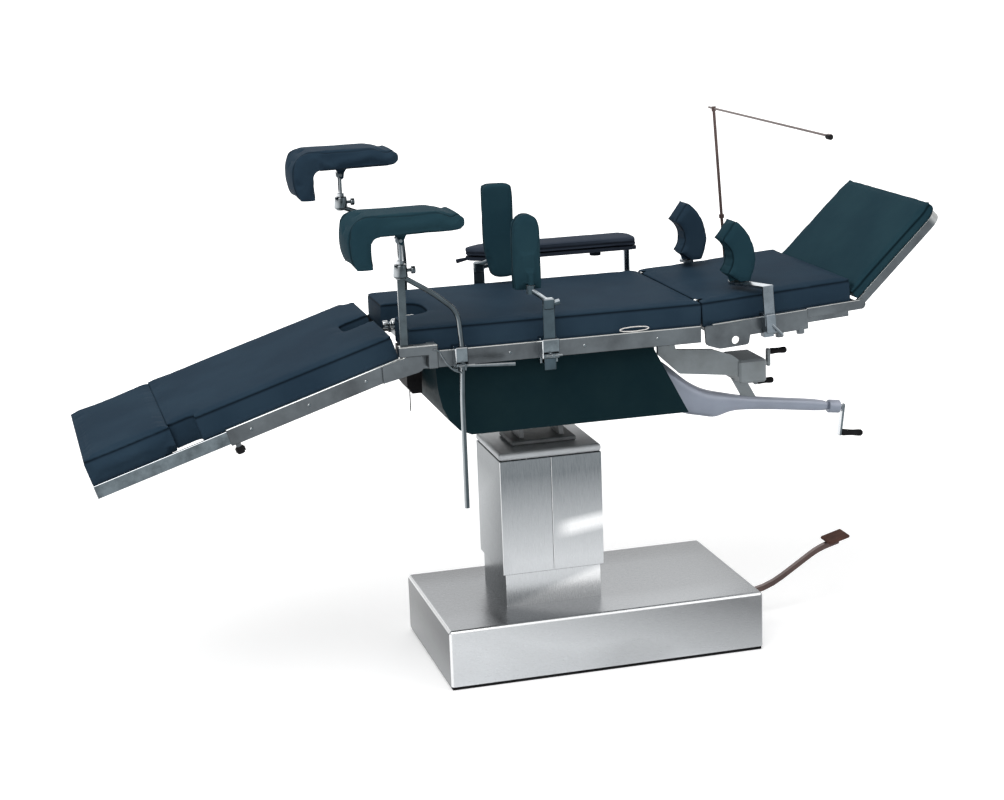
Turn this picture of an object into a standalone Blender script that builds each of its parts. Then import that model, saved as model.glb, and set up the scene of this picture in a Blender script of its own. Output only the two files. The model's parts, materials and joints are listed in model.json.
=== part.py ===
"""Operating table with a foot-pumped lift column, crank-driven tilts, a five-section top and rail accessories.

Metres, +Z up. The origin is on the floor under the middle of the base. The foot end is at -X, the head
end at +X, and the near side, where the accessories' levers are, at -Y.
Run it with: blender --background --python part.py
"""

import math

import bmesh
import bpy
from mathutils import Matrix, Vector

# Clearances: between seated pieces, and between pieces that move past each other
GAP = 0.0003
RUN = 0.0006
SIDES = 16  # facets of a small round piece

# Base
BASE_LENGTH = 0.80
BASE_WIDTH = 0.46
BASE_HEIGHT = 0.150
BASE_ROUND = 0.010
BASE_PLATE = 0.009
BASE_INSET = 0.004
SHEET = 0.003

# Column
COLUMN_X = -0.102
COLUMN_LENGTH = 0.257
COLUMN_DEPTH = 0.226
COLUMN_TOP = 0.541
SLEEVE_BOTTOM = 0.233
CAP_THICKNESS = 0.020
CAP_LIP = 0.001
PLINTH_INSET = 0.007
PLINTH_TOP = 0.425
PLINTH_WALL = 0.003
CYLINDER_RADIUS = 0.045
CYLINDER_TOP = 0.400
RAM_RADIUS = 0.028
RAM_BOTTOM = 0.130
DUCT_HALF = 0.030
DUCT_HEIGHT = 0.028

# Pump and pedal
PEDAL_PIVOT_X = 0.345
PEDAL_PIVOT_Z = 0.065
PEDAL_THICKNESS = 0.014
PEDAL_PIN = 0.005
PEDAL_ARM = 0.050
PEDAL_SLOT_BOTTOM = 0.018
PEDAL_SLOT_TOP = 0.112
PEDAL_TIP_X = 0.703
PEDAL_TIP_Z = 0.180
LEVER_HALF = 0.007
TREAD_LENGTH = 0.056
TREAD_RISE = 0.015
PLUNGER_RADIUS = 0.008
PUMP_TOP = 0.112

# Tilting cross on the column
TILT_Z = 0.655
CROSS_HALF = 0.0440
CROSS_THICKNESS = 0.040
TRUNNION = 0.010
EYE = 0.022
YOKE_INNER = 0.0450
YOKE_CHEEK = 0.011
CRADLE_INNER = 0.0550
CRADLE_CHEEK = 0.011

# Table top, heights on the level seat
RAIL_TOP = 0.840
RAIL_HEIGHT = 0.040
RAIL_THICKNESS = 0.010
FRAME_TOP = RAIL_TOP - 0.008
FRAME_HEIGHT = 0.032
CUSHION_TOP = RAIL_TOP + 0.060

# Half widths of the table top, from the cushions outwards and inwards
CUSHION_HALF = 0.238
RAIL_OUT = CUSHION_HALF + 0.012
BEAM_OUT = RAIL_OUT - 0.028
BEAM_IN = BEAM_OUT - 0.035

# Sections, along the table
LEG_HINGE_X = -0.455
LEG_HINGE_Z = RAIL_TOP - 0.024
LEG_DROP = 17.4
LEG_PAD_START = 0.030
LEG_PAD_END = 0.570
FOOT_PAD_START = 0.576
FOOT_END = 0.772
BACK_HINGE_X = 0.245
BACK_HINGE_Z = RAIL_TOP + 0.049
BACK_RISE = 3.75
BACK_LENGTH = 0.401
HEAD_RISE = 44.0
HEAD_LENGTH = 0.295
HEAD_HINGE_DROP = 0.0585
SEAT_PAD_FOOT_X = -0.464
SEAM = 0.0015
CUT_OUT_HALF = 0.075
CUT_OUT_DEPTH = 0.085
END_SLANT = 5.2
HEAD_SHAFT = 0.004
SOCKET = (0.170, 0.260)
ARM_LOW = -HEAD_HINGE_DROP - 0.0115
ARM_HIGH = -HEAD_HINGE_DROP + 0.0115
TENON_Z = -0.064
TENON_HALF = 0.009
RELEASE_X = -0.419
RELEASE_Y = -0.012
RELEASE_HEIGHT = 0.030

# Hinge lugs and ears
LUG = 0.006
LUG_IN = BEAM_IN + 0.007
BACK_EYE = 0.006
BACK_PIN = 0.003
LEG_EYE = 0.0135
LEG_PIN = 0.006
EAR = 0.006
EAR_RADIUS = 0.022

# Shroud under the seat
SHROUD_HALF = BEAM_OUT - 0.009
SHROUD_BOTTOM = 0.624
SHROUD_TOP = FRAME_TOP - FRAME_HEIGHT - 0.003
SHROUD_FOOT_X = -0.400
SHROUD_FOOT_BOTTOM_X = -0.320
SHROUD_HEAD_X = 0.128
SHROUD_HEAD_BOTTOM_X = 0.218

# Crank drives at the head end
DRIVE_Y = -0.120
DRIVE_END_X = 0.650
DRIVE_END_Z = 0.5735
DRIVE_SLOPE = 7.0
DRIVE_FOOT = (0.070, 0.155)
MAIN_CRANK_ARM = 0.067
MAIN_GRIP_LENGTH = 0.066
GEARBOX_X = 0.437
UPPER_CRANK_Y = -0.152
UPPER_CRANK_Z = 0.712
UPPER_CRANK_ARM = 0.028
LOWER_CRANK_Y = -0.068
LOWER_CRANK_Z = 0.686
LOWER_CRANK_ARM = 0.040
SMALL_GRIP_LENGTH = 0.052
SHAFT = 0.006
GRIP_RADIUS = 0.008
CRANK_BAR = 0.009
CRANK_SPINDLE = 0.004

# Rail clamps
CLAMP_LENGTH = 0.030
CLAMP_OUT = RAIL_OUT + 0.012
CLAMP_JAW = 0.009
CLAMP_LIP = 0.0025
HOLDER_OUT = RAIL_OUT + 0.034
POST_Y = RAIL_OUT + 0.022

# Knee supports
POLE_RADIUS = 0.006
POLE_BEND = 0.045
NEAR_POLE_X = -0.353
NEAR_POLE_BOTTOM = 0.465
NEAR_POLE_BEND_Z = 0.935
NEAR_KNUCKLE_X = -0.484
NEAR_KNUCKLE_Z = 1.036
FAR_POLE_X = -0.361
FAR_POLE_BOTTOM = 0.640
FAR_POLE_BEND_Z = 1.045
FAR_KNUCKLE_X = -0.512
FAR_KNUCKLE_Z = 1.121
KNUCKLE_RADIUS = 0.017
KNUCKLE_HEIGHT = 0.030
STAY_BOTTOM = RAIL_TOP + 0.016
STAY_WIDTH = 0.018
STAY_THICKNESS = 0.005
KNEE_ROD_RADIUS = 0.005
KNEE_ROD_LENGTH = 0.070
KNEE_PIN = 0.004
KNEE_PAD_WIDTH = 0.150
KNEE_PAD_LIFT = 0.020
KNEE_PAD_THICKNESS = 0.048
KNEE_PAD_HEAD = 0.117
KNEE_PAD_FOOT_IN = 0.077
KNEE_PAD_FOOT_OUT = 0.128
KNEE_PAD_DROP = 0.076
KNEE_ROLL_RADIUS = 0.020

# Side supports
SIDE_NEAR_X = -0.141
SIDE_FAR_X = -0.166
SIDE_BAR_WIDTH = 0.028
SIDE_BAR_THICKNESS = 0.006
SIDE_BAR_BOTTOM = RAIL_TOP - 0.065
SIDE_BAR_TOP = RAIL_TOP + 0.090
SIDE_PAD_Y = BEAM_IN + 0.013
SIDE_PAD_THICKNESS = 0.040
SIDE_PAD_BACK = 0.010
SIDE_PIN = 0.005
SIDE_PIN_OFFSET = 0.0235
NEAR_PAD_X = -0.169
NEAR_PAD_WIDTH = 0.068
NEAR_PAD_LOW = RAIL_TOP + 0.113
NEAR_PAD_HIGH = RAIL_TOP + 0.290
FAR_PAD_X = -0.1345
FAR_PAD_WIDTH = 0.080
FAR_PAD_LOW = RAIL_TOP + 0.077
FAR_PAD_HIGH = RAIL_TOP + 0.312

# Arm board on the far side
ARM_PIVOT_X = 0.248
ARM_PIVOT_Y = RAIL_OUT + 0.080
ARM_BOARD_Z = RAIL_TOP + 0.098
ARM_BOARD_LENGTH = 0.450
ARM_BOARD_WIDTH = 0.100
ARM_BOARD_THICKNESS = 0.008
ARM_PAD_THICKNESS = 0.026
ARM_CLAMP_X = 0.185

# Shoulder supports and screen, along the back section
SHOULDER_X = 0.155
SHOULDER_PIVOT_X = 0.112
SHOULDER_PLATE_TOP = CUSHION_TOP + 0.018
SHOULDER_PAD_Y = 0.165
SHOULDER_PAD_WIDTH = 0.072
SHOULDER_PAD_THICKNESS = 0.058
SHOULDER_PAD_RADIUS = 0.085
SHOULDER_PAD_MIDDLE = 0.060
SHOULDER_PAD_TURNS = (-40, 50)
SHOULDER_PIN = 0.005
SCREEN_CLAMP_X = 0.272
SCREEN_X = 0.256
SCREEN_HEIGHT = 0.385
SCREEN_PEG = 0.0025
SCREEN_POLE = 0.004
SCREEN_BAR = 0.003
SCREEN_BAR_NEAR = 0.450
SCREEN_BAR_FAR = 0.306

# Colour, roughness and metallic value of each finish
FINISHES = {
    "stainless": ((0.62, 0.63, 0.64, 1.0), 0.28, 1.0),
    "chrome": ((0.80, 0.81, 0.83, 1.0), 0.10, 1.0),
    "rail steel": ((0.40, 0.42, 0.44, 1.0), 0.30, 1.0),
    "grey casting": ((0.36, 0.39, 0.41, 1.0), 0.45, 0.6),
    "pale housing": ((0.46, 0.48, 0.55, 1.0), 0.35, 0.2),
    "dark paint": ((0.020, 0.045, 0.050, 1.0), 0.35, 0.0),
    "black plastic": ((0.015, 0.015, 0.017, 1.0), 0.45, 0.0),
    "black rubber": ((0.020, 0.018, 0.018, 1.0), 0.70, 0.0),
    "navy leather": ((0.030, 0.055, 0.085, 1.0), 0.45, 0.0),
    "teal leather": ((0.020, 0.060, 0.075, 1.0), 0.45, 0.0),
    "cast iron": ((0.10, 0.10, 0.11, 1.0), 0.60, 0.5),
}

NEAR = -1
FAR = 1
BOTH_SIDES = (("near", NEAR), ("far", FAR))


def clear_scene():
    for old in list(bpy.data.objects):
        bpy.data.objects.remove(old)


def new_collection(name, hidden=False):
    made = bpy.data.collections.new(name)
    made.hide_render = hidden
    bpy.context.scene.collection.children.link(made)
    return made


clear_scene()
PARTS = new_collection("operating_table")
CUTTERS = new_collection("cutters", hidden=True)


def make_material(name, colour, roughness, metallic):
    material = bpy.data.materials.new(name)
    material.use_nodes = True
    surface = material.node_tree.nodes["Principled BSDF"]
    surface.inputs["Base Color"].default_value = colour
    surface.inputs["Roughness"].default_value = roughness
    surface.inputs["Metallic"].default_value = metallic
    return material


def carrier(name, location=(0, 0, 0), turn_y=0.0, parent=None):
    """An empty that holds one section's pieces. turn_y is in degrees about +Y."""
    empty = bpy.data.objects.new(name, None)
    empty.location = location
    empty.rotation_euler = (0, math.radians(turn_y), 0)
    empty.parent = parent
    PARTS.objects.link(empty)
    return empty


def mesh_object(name, shape):
    """An object of the given bmesh, which is freed."""
    mesh = bpy.data.meshes.new(name)
    bmesh.ops.recalc_face_normals(shape, faces=shape.faces[:])
    shape.to_mesh(mesh)
    shape.free()
    made = bpy.data.objects.new(name, mesh)
    PARTS.objects.link(made)
    return made


def span(side, inner, outer):
    """The (low, high) Y pair between two distances from the middle, on one side."""
    return tuple(sorted((side * inner, side * outer)))


def around(middle, half):
    return (middle - half, middle + half)


def flat(points):
    """Plain (across, up) pairs from two-dimensional vectors."""
    return [(point.x, point.y) for point in points]


def back_z(height):
    """A height on the level table, in the back section's own frame."""
    return height - BACK_HINGE_Z


def hole(radius):
    """The radius of a faceted hole in which a faceted shaft of this radius turns freely."""
    return (radius + RUN / 2) / math.cos(math.pi / SIDES)


def block(x, y, z, bevel=0.0, segments=2):
    """A box between three (low, high) pairs."""
    shape = bmesh.new()
    bmesh.ops.create_cube(shape, size=1.0)
    for vertex in shape.verts:
        for axis, (low, high) in enumerate((x, y, z)):
            vertex.co[axis] = low if vertex.co[axis] < 0 else high
    if bevel:
        bmesh.ops.bevel(shape, geom=shape.edges[:], offset=bevel, segments=segments, profile=0.5, affect="EDGES")
    return mesh_object("block", shape)


def rod(start, end, radius, end_radius=None, sides=SIDES):
    """A round bar from start to end, tapered when an end radius is given."""
    start = Vector(start)
    end = Vector(end)
    shape = bmesh.new()
    last = radius if end_radius is None else end_radius
    length = (end - start).length
    bmesh.ops.create_cone(shape, cap_ends=True, segments=sides, radius1=radius, radius2=last, depth=length)
    turn = (end - start).to_track_quat("Z", "Y").to_matrix().to_4x4()
    place = Matrix.Translation((start + end) / 2) @ turn
    bmesh.ops.transform(shape, matrix=place, verts=shape.verts[:])
    return mesh_object("rod", shape)


def curve_to_mesh(curve, place):
    """The closed mesh of a curve, with its caps welded, moved by a matrix."""
    holder = bpy.data.objects.new("curve", curve)
    PARTS.objects.link(holder)
    bpy.context.view_layer.update()
    graph = bpy.context.evaluated_depsgraph_get()
    mesh = bpy.data.meshes.new_from_object(holder.evaluated_get(graph))
    bpy.data.objects.remove(holder)
    shape = bmesh.new()
    shape.from_mesh(mesh)
    bmesh.ops.remove_doubles(shape, verts=shape.verts[:], dist=1e-6)
    bmesh.ops.transform(shape, matrix=place, verts=shape.verts[:])
    return mesh_object("outline", shape)


PLANES = {
    "XY": Matrix.Identity(4),
    "XZ": Matrix(((1, 0, 0, 0), (0, 0, -1, 0), (0, 1, 0, 0), (0, 0, 0, 1))),
    "YZ": Matrix(((0, 0, 1, 0), (1, 0, 0, 0), (0, 1, 0, 0), (0, 0, 0, 1))),
}
NORMALS = {"XY": Vector((0, 0, 1)), "XZ": Vector((0, 1, 0)), "YZ": Vector((1, 0, 0))}


def prism(outline, plane, limits):
    """A flat outline in a plane, given thickness between two limits along the plane's normal."""
    low, high = limits
    curve = bpy.data.curves.new("outline", "CURVE")
    curve.dimensions = "2D"
    curve.fill_mode = "BOTH"
    curve.extrude = (high - low) / 2
    line = curve.splines.new("POLY")
    line.points.add(len(outline) - 1)
    for point, (across, up) in zip(line.points, outline):
        point.co = (across, up, 0, 1)
    line.use_cyclic_u = True
    place = Matrix.Translation(NORMALS[plane] * (low + high) / 2) @ PLANES[plane]
    return curve_to_mesh(curve, place)


def tube(points, radius):
    """A round bar bent through the given points."""
    curve = bpy.data.curves.new("tube", "CURVE")
    curve.dimensions = "3D"
    curve.bevel_depth = radius
    curve.bevel_resolution = 2
    curve.use_fill_caps = True
    line = curve.splines.new("POLY")
    line.points.add(len(points) - 1)
    for point, place in zip(line.points, points):
        point.co = (*place, 1)
    return curve_to_mesh(curve, Matrix.Identity(4))


def round_corners(points, radius, steps=4, closed=False):
    """The points with each corner swapped for a short curve that starts a radius away from it."""
    corners = [Vector(point) for point in points]
    count = len(corners)
    made = []
    for index, corner in enumerate(corners):
        if not closed and index in (0, count - 1):
            made.append(corner)
            continue
        before = corners[index - 1]
        after = corners[(index + 1) % count]
        reach = min(radius, (before - corner).length * 0.49, (after - corner).length * 0.49)
        first = corner + (before - corner).normalized() * reach
        last = corner + (after - corner).normalized() * reach
        for step in range(steps + 1):
            t = step / steps
            made.append(first * (1 - t) ** 2 + corner * 2 * t * (1 - t) + last * t**2)
    return made


def arc(middle, radius, start, end, steps):
    """Points of an arc in a plane. The angles are in degrees."""
    turns = [math.radians(start + (end - start) * step / steps) for step in range(steps + 1)]
    return [(middle[0] + radius * math.cos(turn), middle[1] + radius * math.sin(turn)) for turn in turns]


def turned(profile, base, direction, sides=SIDES):
    """A turned piece: (radius, height) points down the outside, spun about a line from the base."""
    mesh = bpy.data.meshes.new("profile")
    points = [(radius, 0, height) for radius, height in profile]
    mesh.from_pydata(points, [(index, index + 1) for index in range(len(points) - 1)], [])
    made = bpy.data.objects.new("turned", mesh)
    PARTS.objects.link(made)
    screw = made.modifiers.new("turn", "SCREW")
    screw.steps = sides
    screw.render_steps = sides
    screw.use_merge_vertices = True
    screw.merge_threshold = 0.00005
    turn = Vector(direction).to_track_quat("Z", "Y").to_matrix().to_4x4()
    made.matrix_local = Matrix.Translation(base) @ turn
    return made


def loft(sections):
    """A closed skin over loops of points that have as many points each."""
    shape = bmesh.new()
    loops = [[shape.verts.new(point) for point in section] for section in sections]
    for loop, following in zip(loops, loops[1:]):
        for index in range(len(loop)):
            after = (index + 1) % len(loop)
            shape.faces.new((loop[index], loop[after], following[after], following[index]))
    shape.faces.new(loops[0])
    shape.faces.new(loops[-1])
    return mesh_object("loft", shape)


def use_as_tool(target, tool, operation):
    modifier = target.modifiers.new(operation.lower(), "BOOLEAN")
    modifier.operation = operation
    modifier.object = tool
    PARTS.objects.unlink(tool)
    CUTTERS.objects.link(tool)
    tool.hide_render = True
    tool.display_type = "WIRE"


def piece(name, finish, holder, shape, add=(), remove=(), within=(), later=()):
    """Names one sub-part, gives it its finish and carrier, and joins, cuts or trims with the other shapes.

    The shapes in later are joined after the cuts.
    """
    shape.name = name
    shape.data.name = name
    shape.data.materials.append(MATERIALS[finish])
    for tools, operation in ((add, "UNION"), (remove, "DIFFERENCE"), (within, "INTERSECT"), (later, "UNION")):
        for tool in tools:
            use_as_tool(shape, tool, operation)
            tool.parent = holder
    shape.parent = holder


MATERIALS = {name: make_material(name, *values) for name, values in FINISHES.items()}

# Carriers, each at the axis on which its body moves
TABLE = carrier("table")
BACK = carrier("back_section", (BACK_HINGE_X, 0, BACK_HINGE_Z), -BACK_RISE, TABLE)
HEAD = carrier("head_section", (BACK_LENGTH, 0, -HEAD_HINGE_DROP), BACK_RISE - HEAD_RISE, BACK)
LEG = carrier("leg_section", (LEG_HINGE_X, 0, LEG_HINGE_Z), -LEG_DROP, TABLE)
DRIVE = carrier("main_drive", (DRIVE_END_X, DRIVE_Y, DRIVE_END_Z), DRIVE_SLOPE, TABLE)


def column_span(inset=0.0):
    """The column's X limits, moved in by an inset."""
    return around(COLUMN_X, COLUMN_LENGTH / 2 - inset)


def column_depth(inset=0.0):
    return around(0, COLUMN_DEPTH / 2 - inset)


def build_base():
    length = BASE_LENGTH / 2
    width = BASE_WIDTH / 2
    plate = block(around(0, length - BASE_INSET), around(0, width - BASE_INSET), (0, BASE_PLATE))
    piece("base_plate", "cast iron", TABLE, plate)

    bottom = BASE_PLATE + GAP
    cover = block(around(0, length), around(0, width), (bottom - 2 * BASE_ROUND, BASE_HEIGHT), BASE_ROUND)
    trim = block(around(0, length + SHEET), around(0, width + SHEET), (bottom - 3 * BASE_ROUND, bottom))
    inside_z = (bottom - 3 * BASE_ROUND, BASE_HEIGHT - SHEET)
    inside = block(around(0, length - SHEET), around(0, width - SHEET), inside_z, BASE_ROUND - SHEET)
    throat_z = (BASE_HEIGHT - 2 * SHEET, BASE_HEIGHT + SHEET)
    throat = block(column_span(PLINTH_INSET - GAP), column_depth(PLINTH_INSET - GAP), throat_z)
    slot = block((length - 2 * SHEET, length + SHEET), around(0, PEDAL_THICKNESS), (PEDAL_SLOT_BOTTOM, PEDAL_SLOT_TOP))
    piece("base_cover", "stainless", TABLE, cover, remove=(trim, inside, throat, slot))

    plinth = block(column_span(PLINTH_INSET), column_depth(PLINTH_INSET), (bottom, PLINTH_TOP))
    wall = PLINTH_INSET + PLINTH_WALL
    bore = block(column_span(wall), column_depth(wall), (bottom - SHEET, PLINTH_TOP + SHEET))
    door_x = (COLUMN_X + COLUMN_LENGTH / 2 - 2 * wall, COLUMN_X + COLUMN_LENGTH / 2)
    door = block(door_x, around(0, DUCT_HALF + RUN), (bottom - SHEET, bottom + DUCT_HEIGHT + RUN))
    piece("column_plinth", "stainless", TABLE, plinth, remove=(bore, door))


def build_hydraulics():
    """The hydraulic unit in the base: lift cylinder, duct, tank, pump barrel and the pedal's bracket."""
    bottom = BASE_PLATE + GAP
    plunger_x = PEDAL_PIVOT_X - PEDAL_ARM
    tank_end = plunger_x - 0.026
    cylinder = rod((COLUMN_X, 0, bottom), (COLUMN_X, 0, CYLINDER_TOP), CYLINDER_RADIUS, sides=24)
    flange = block(around(COLUMN_X, 0.065), around(0, 0.065), (bottom, bottom + 0.010))
    duct = block((COLUMN_X, tank_end - 0.050), around(0, DUCT_HALF), (bottom, bottom + DUCT_HEIGHT))
    deep = rod((COLUMN_X, 0, 0.050), (COLUMN_X, 0, CYLINDER_TOP + SHEET), RAM_RADIUS + RUN, sides=24)
    tank = block((0.130, tank_end), around(0, 0.070), (bottom, PUMP_TOP), 0.006)
    head_z = (PUMP_TOP - 0.022, PUMP_TOP - 0.002)
    head = block((tank_end - 0.010, plunger_x + 0.020), around(0, 0.022), head_z)
    bore = rod((plunger_x, 0, 0.05), (plunger_x, 0, PUMP_TOP + SHEET), hole(PLUNGER_RADIUS))
    cheek_in = PEDAL_THICKNESS / 2 + RUN
    floor = block((tank_end - 0.020, PEDAL_PIVOT_X + 0.020), around(0, cheek_in + 0.008), (bottom, bottom + 0.010))
    cheeks = []
    for _, side in BOTH_SIDES:
        y = span(side, cheek_in, cheek_in + 0.008)
        eye = arc((PEDAL_PIVOT_X, PEDAL_PIVOT_Z), 0.014, 0, 180, 8)
        outline = [*eye, (PEDAL_PIVOT_X - 0.020, bottom + 0.005), (PEDAL_PIVOT_X + 0.020, bottom + 0.005)]
        cheeks.append(prism(outline, "XZ", y))
    pin = rod((PEDAL_PIVOT_X, -0.04, PEDAL_PIVOT_Z), (PEDAL_PIVOT_X, 0.04, PEDAL_PIVOT_Z), hole(PEDAL_PIN))
    joined = (flange, duct, tank, head, floor, *cheeks)
    piece("hydraulic_unit", "cast iron", TABLE, cylinder, add=joined, remove=(deep, bore, pin))

    arm_top = PEDAL_PIVOT_Z + LEVER_HALF
    plunger = rod((plunger_x, 0, arm_top + 0.004), (plunger_x, 0, PUMP_TOP + 0.006), PLUNGER_RADIUS)
    foot = rod((plunger_x, 0, arm_top + GAP), (plunger_x, 0, arm_top + 0.006), 0.006)
    piece("pump_plunger", "chrome", TABLE, plunger, add=(foot,))


def build_pedal():
    """The foot lever with its pivot and inner arm, and the rubber tread on its sloping end."""
    half = PEDAL_THICKNESS / 2
    inner_x = PEDAL_PIVOT_X - PEDAL_ARM
    knee_x = PEDAL_PIVOT_X + 0.150
    tread_x = PEDAL_TIP_X - TREAD_LENGTH
    tread_z = PEDAL_TIP_Z - TREAD_RISE
    route = [(PEDAL_PIVOT_X, PEDAL_PIVOT_Z), (knee_x, PEDAL_PIVOT_Z + 0.004), (tread_x, tread_z), (PEDAL_TIP_X, PEDAL_TIP_Z)]
    path = flat(round_corners(route, 0.060, 4))
    upper = [(x, z + LEVER_HALF) for x, z in path]
    lower = [(x, z - LEVER_HALF) for x, z in reversed(path)]
    inner = arc((inner_x, PEDAL_PIVOT_Z), LEVER_HALF, 270, 90, 4)
    lever = prism([*inner, *upper, *lower], "XZ", around(0, half))
    hub = rod((PEDAL_PIVOT_X, -half, PEDAL_PIVOT_Z), (PEDAL_PIVOT_X, half, PEDAL_PIVOT_Z), 0.0135)
    reach = half + RUN + 0.010
    pin = rod((PEDAL_PIVOT_X, -reach, PEDAL_PIVOT_Z), (PEDAL_PIVOT_X, reach, PEDAL_PIVOT_Z), PEDAL_PIN)
    piece("pedal_lever", "stainless", TABLE, lever, add=(hub, pin))

    slope = math.atan2(TREAD_RISE, TREAD_LENGTH)
    foot = 0.020
    start = (tread_x + foot, 0, tread_z + foot * math.tan(slope) + LEVER_HALF + GAP / math.cos(slope))
    tread = block((0, TREAD_LENGTH + 0.004), around(0, 0.030), (0, 0.009), 0.003, 1)
    tread.matrix_local = Matrix.Translation(start) @ Matrix.Rotation(-slope, 4, "Y")
    piece("pedal_tread", "black rubber", TABLE, tread)


def build_carriage():
    """The moving half of the column: sleeve halves, cap, ram and yoke."""
    low, high = column_span()
    y = column_depth()
    cap_bottom = COLUMN_TOP - CAP_THICKNESS
    for name, x, open_x in (
        ("column_cover_foot_half", (low, COLUMN_X - GAP), (low + SHEET, COLUMN_X + SHEET)),
        ("column_cover_head_half", (COLUMN_X + GAP, high), (COLUMN_X - SHEET, high - SHEET)),
    ):
        sleeve = block(x, y, (SLEEVE_BOTTOM, cap_bottom - GAP))
        hollow = block(open_x, column_depth(SHEET), (SLEEVE_BOTTOM - SHEET, COLUMN_TOP))
        piece(name, "stainless", TABLE, sleeve, remove=(hollow,))
    cap = block(column_span(-CAP_LIP), column_depth(-CAP_LIP), (cap_bottom, COLUMN_TOP), 0.005)
    piece("column_cap", "stainless", TABLE, cap)
    ram = rod((COLUMN_X, 0, RAM_BOTTOM), (COLUMN_X, 0, cap_bottom - GAP), RAM_RADIUS, sides=24)
    piece("lift_ram", "chrome", TABLE, ram)

    plate = block(around(COLUMN_X, 0.082), around(0, 0.060), (COLUMN_TOP + GAP, COLUMN_TOP + 0.013), 0.003, 1)
    cheeks = []
    for side in (-1, 1):
        inner = COLUMN_X + side * YOKE_INNER
        outer = COLUMN_X + side * (YOKE_INNER + YOKE_CHEEK)
        eye = arc((0, TILT_Z), EYE, 0, 180, 10)
        outline = [*eye, (-0.038, COLUMN_TOP + 0.006), (0.038, COLUMN_TOP + 0.006)]
        cheeks.append(prism(outline, "YZ", tuple(sorted((inner, outer)))))
    bore = rod((COLUMN_X - 0.08, 0, TILT_Z), (COLUMN_X + 0.08, 0, TILT_Z), hole(TRUNNION))
    piece("tilt_yoke", "cast iron", TABLE, plate, add=cheeks, remove=(bore,))


def build_cross():
    half = CROSS_HALF
    body = block(around(COLUMN_X, half), around(0, half), around(TILT_Z, CROSS_THICKNESS / 2), 0.004, 1)
    along = YOKE_INNER + YOKE_CHEEK + 0.004
    across = CRADLE_INNER + CRADLE_CHEEK + 0.004
    pin_x = rod((COLUMN_X - along, 0, TILT_Z), (COLUMN_X + along, 0, TILT_Z), TRUNNION)
    pin_y = rod((COLUMN_X, -across, TILT_Z), (COLUMN_X, across, TILT_Z), TRUNNION)
    piece("tilt_cross", "rail steel", TABLE, body, add=(pin_x, pin_y))


def side_rails(x, spacer_at, top):
    """Both side rails of one section, with the spacers that hold them off the side beams."""
    shapes = []
    bottom = top - RAIL_HEIGHT
    for _, side in BOTH_SIDES:
        shapes.append(block(x, span(side, RAIL_OUT - RAIL_THICKNESS, RAIL_OUT), (bottom, top), 0.0015, 1))
        for place in spacer_at:
            y = span(side, BEAM_OUT - 0.004, RAIL_OUT - RAIL_THICKNESS / 2)
            shapes.append(block(around(place, 0.012), y, (bottom + 0.006, bottom + 0.026)))
    return shapes


def stay_cup():
    """The cup at the foot end of the near rail in which the near knee support's stay stands, and its slot."""
    root_x = (LEG_HINGE_X + EAR_RADIUS + 0.003, LEG_HINGE_X + EAR_RADIUS + 0.025)
    cup_top = STAY_BOTTOM + 0.006
    root = block(root_x, span(NEAR, RAIL_OUT - 0.002, HOLDER_OUT), (RAIL_TOP - 0.034, cup_top), 0.002, 1)
    y = span(NEAR, RAIL_OUT + EAR + 0.0025, HOLDER_OUT)
    cup = block((NEAR_KNUCKLE_X - 0.014, root_x[1]), y, (RAIL_TOP - 0.002, cup_top), 0.002, 1)
    x = around(NEAR_KNUCKLE_X, STAY_WIDTH / 2 + RUN)
    y = around(NEAR * POST_Y, STAY_THICKNESS / 2 + RUN)
    slot = block(x, y, (STAY_BOTTOM - GAP, STAY_BOTTOM + 0.1))
    return [root, cup], slot


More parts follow.
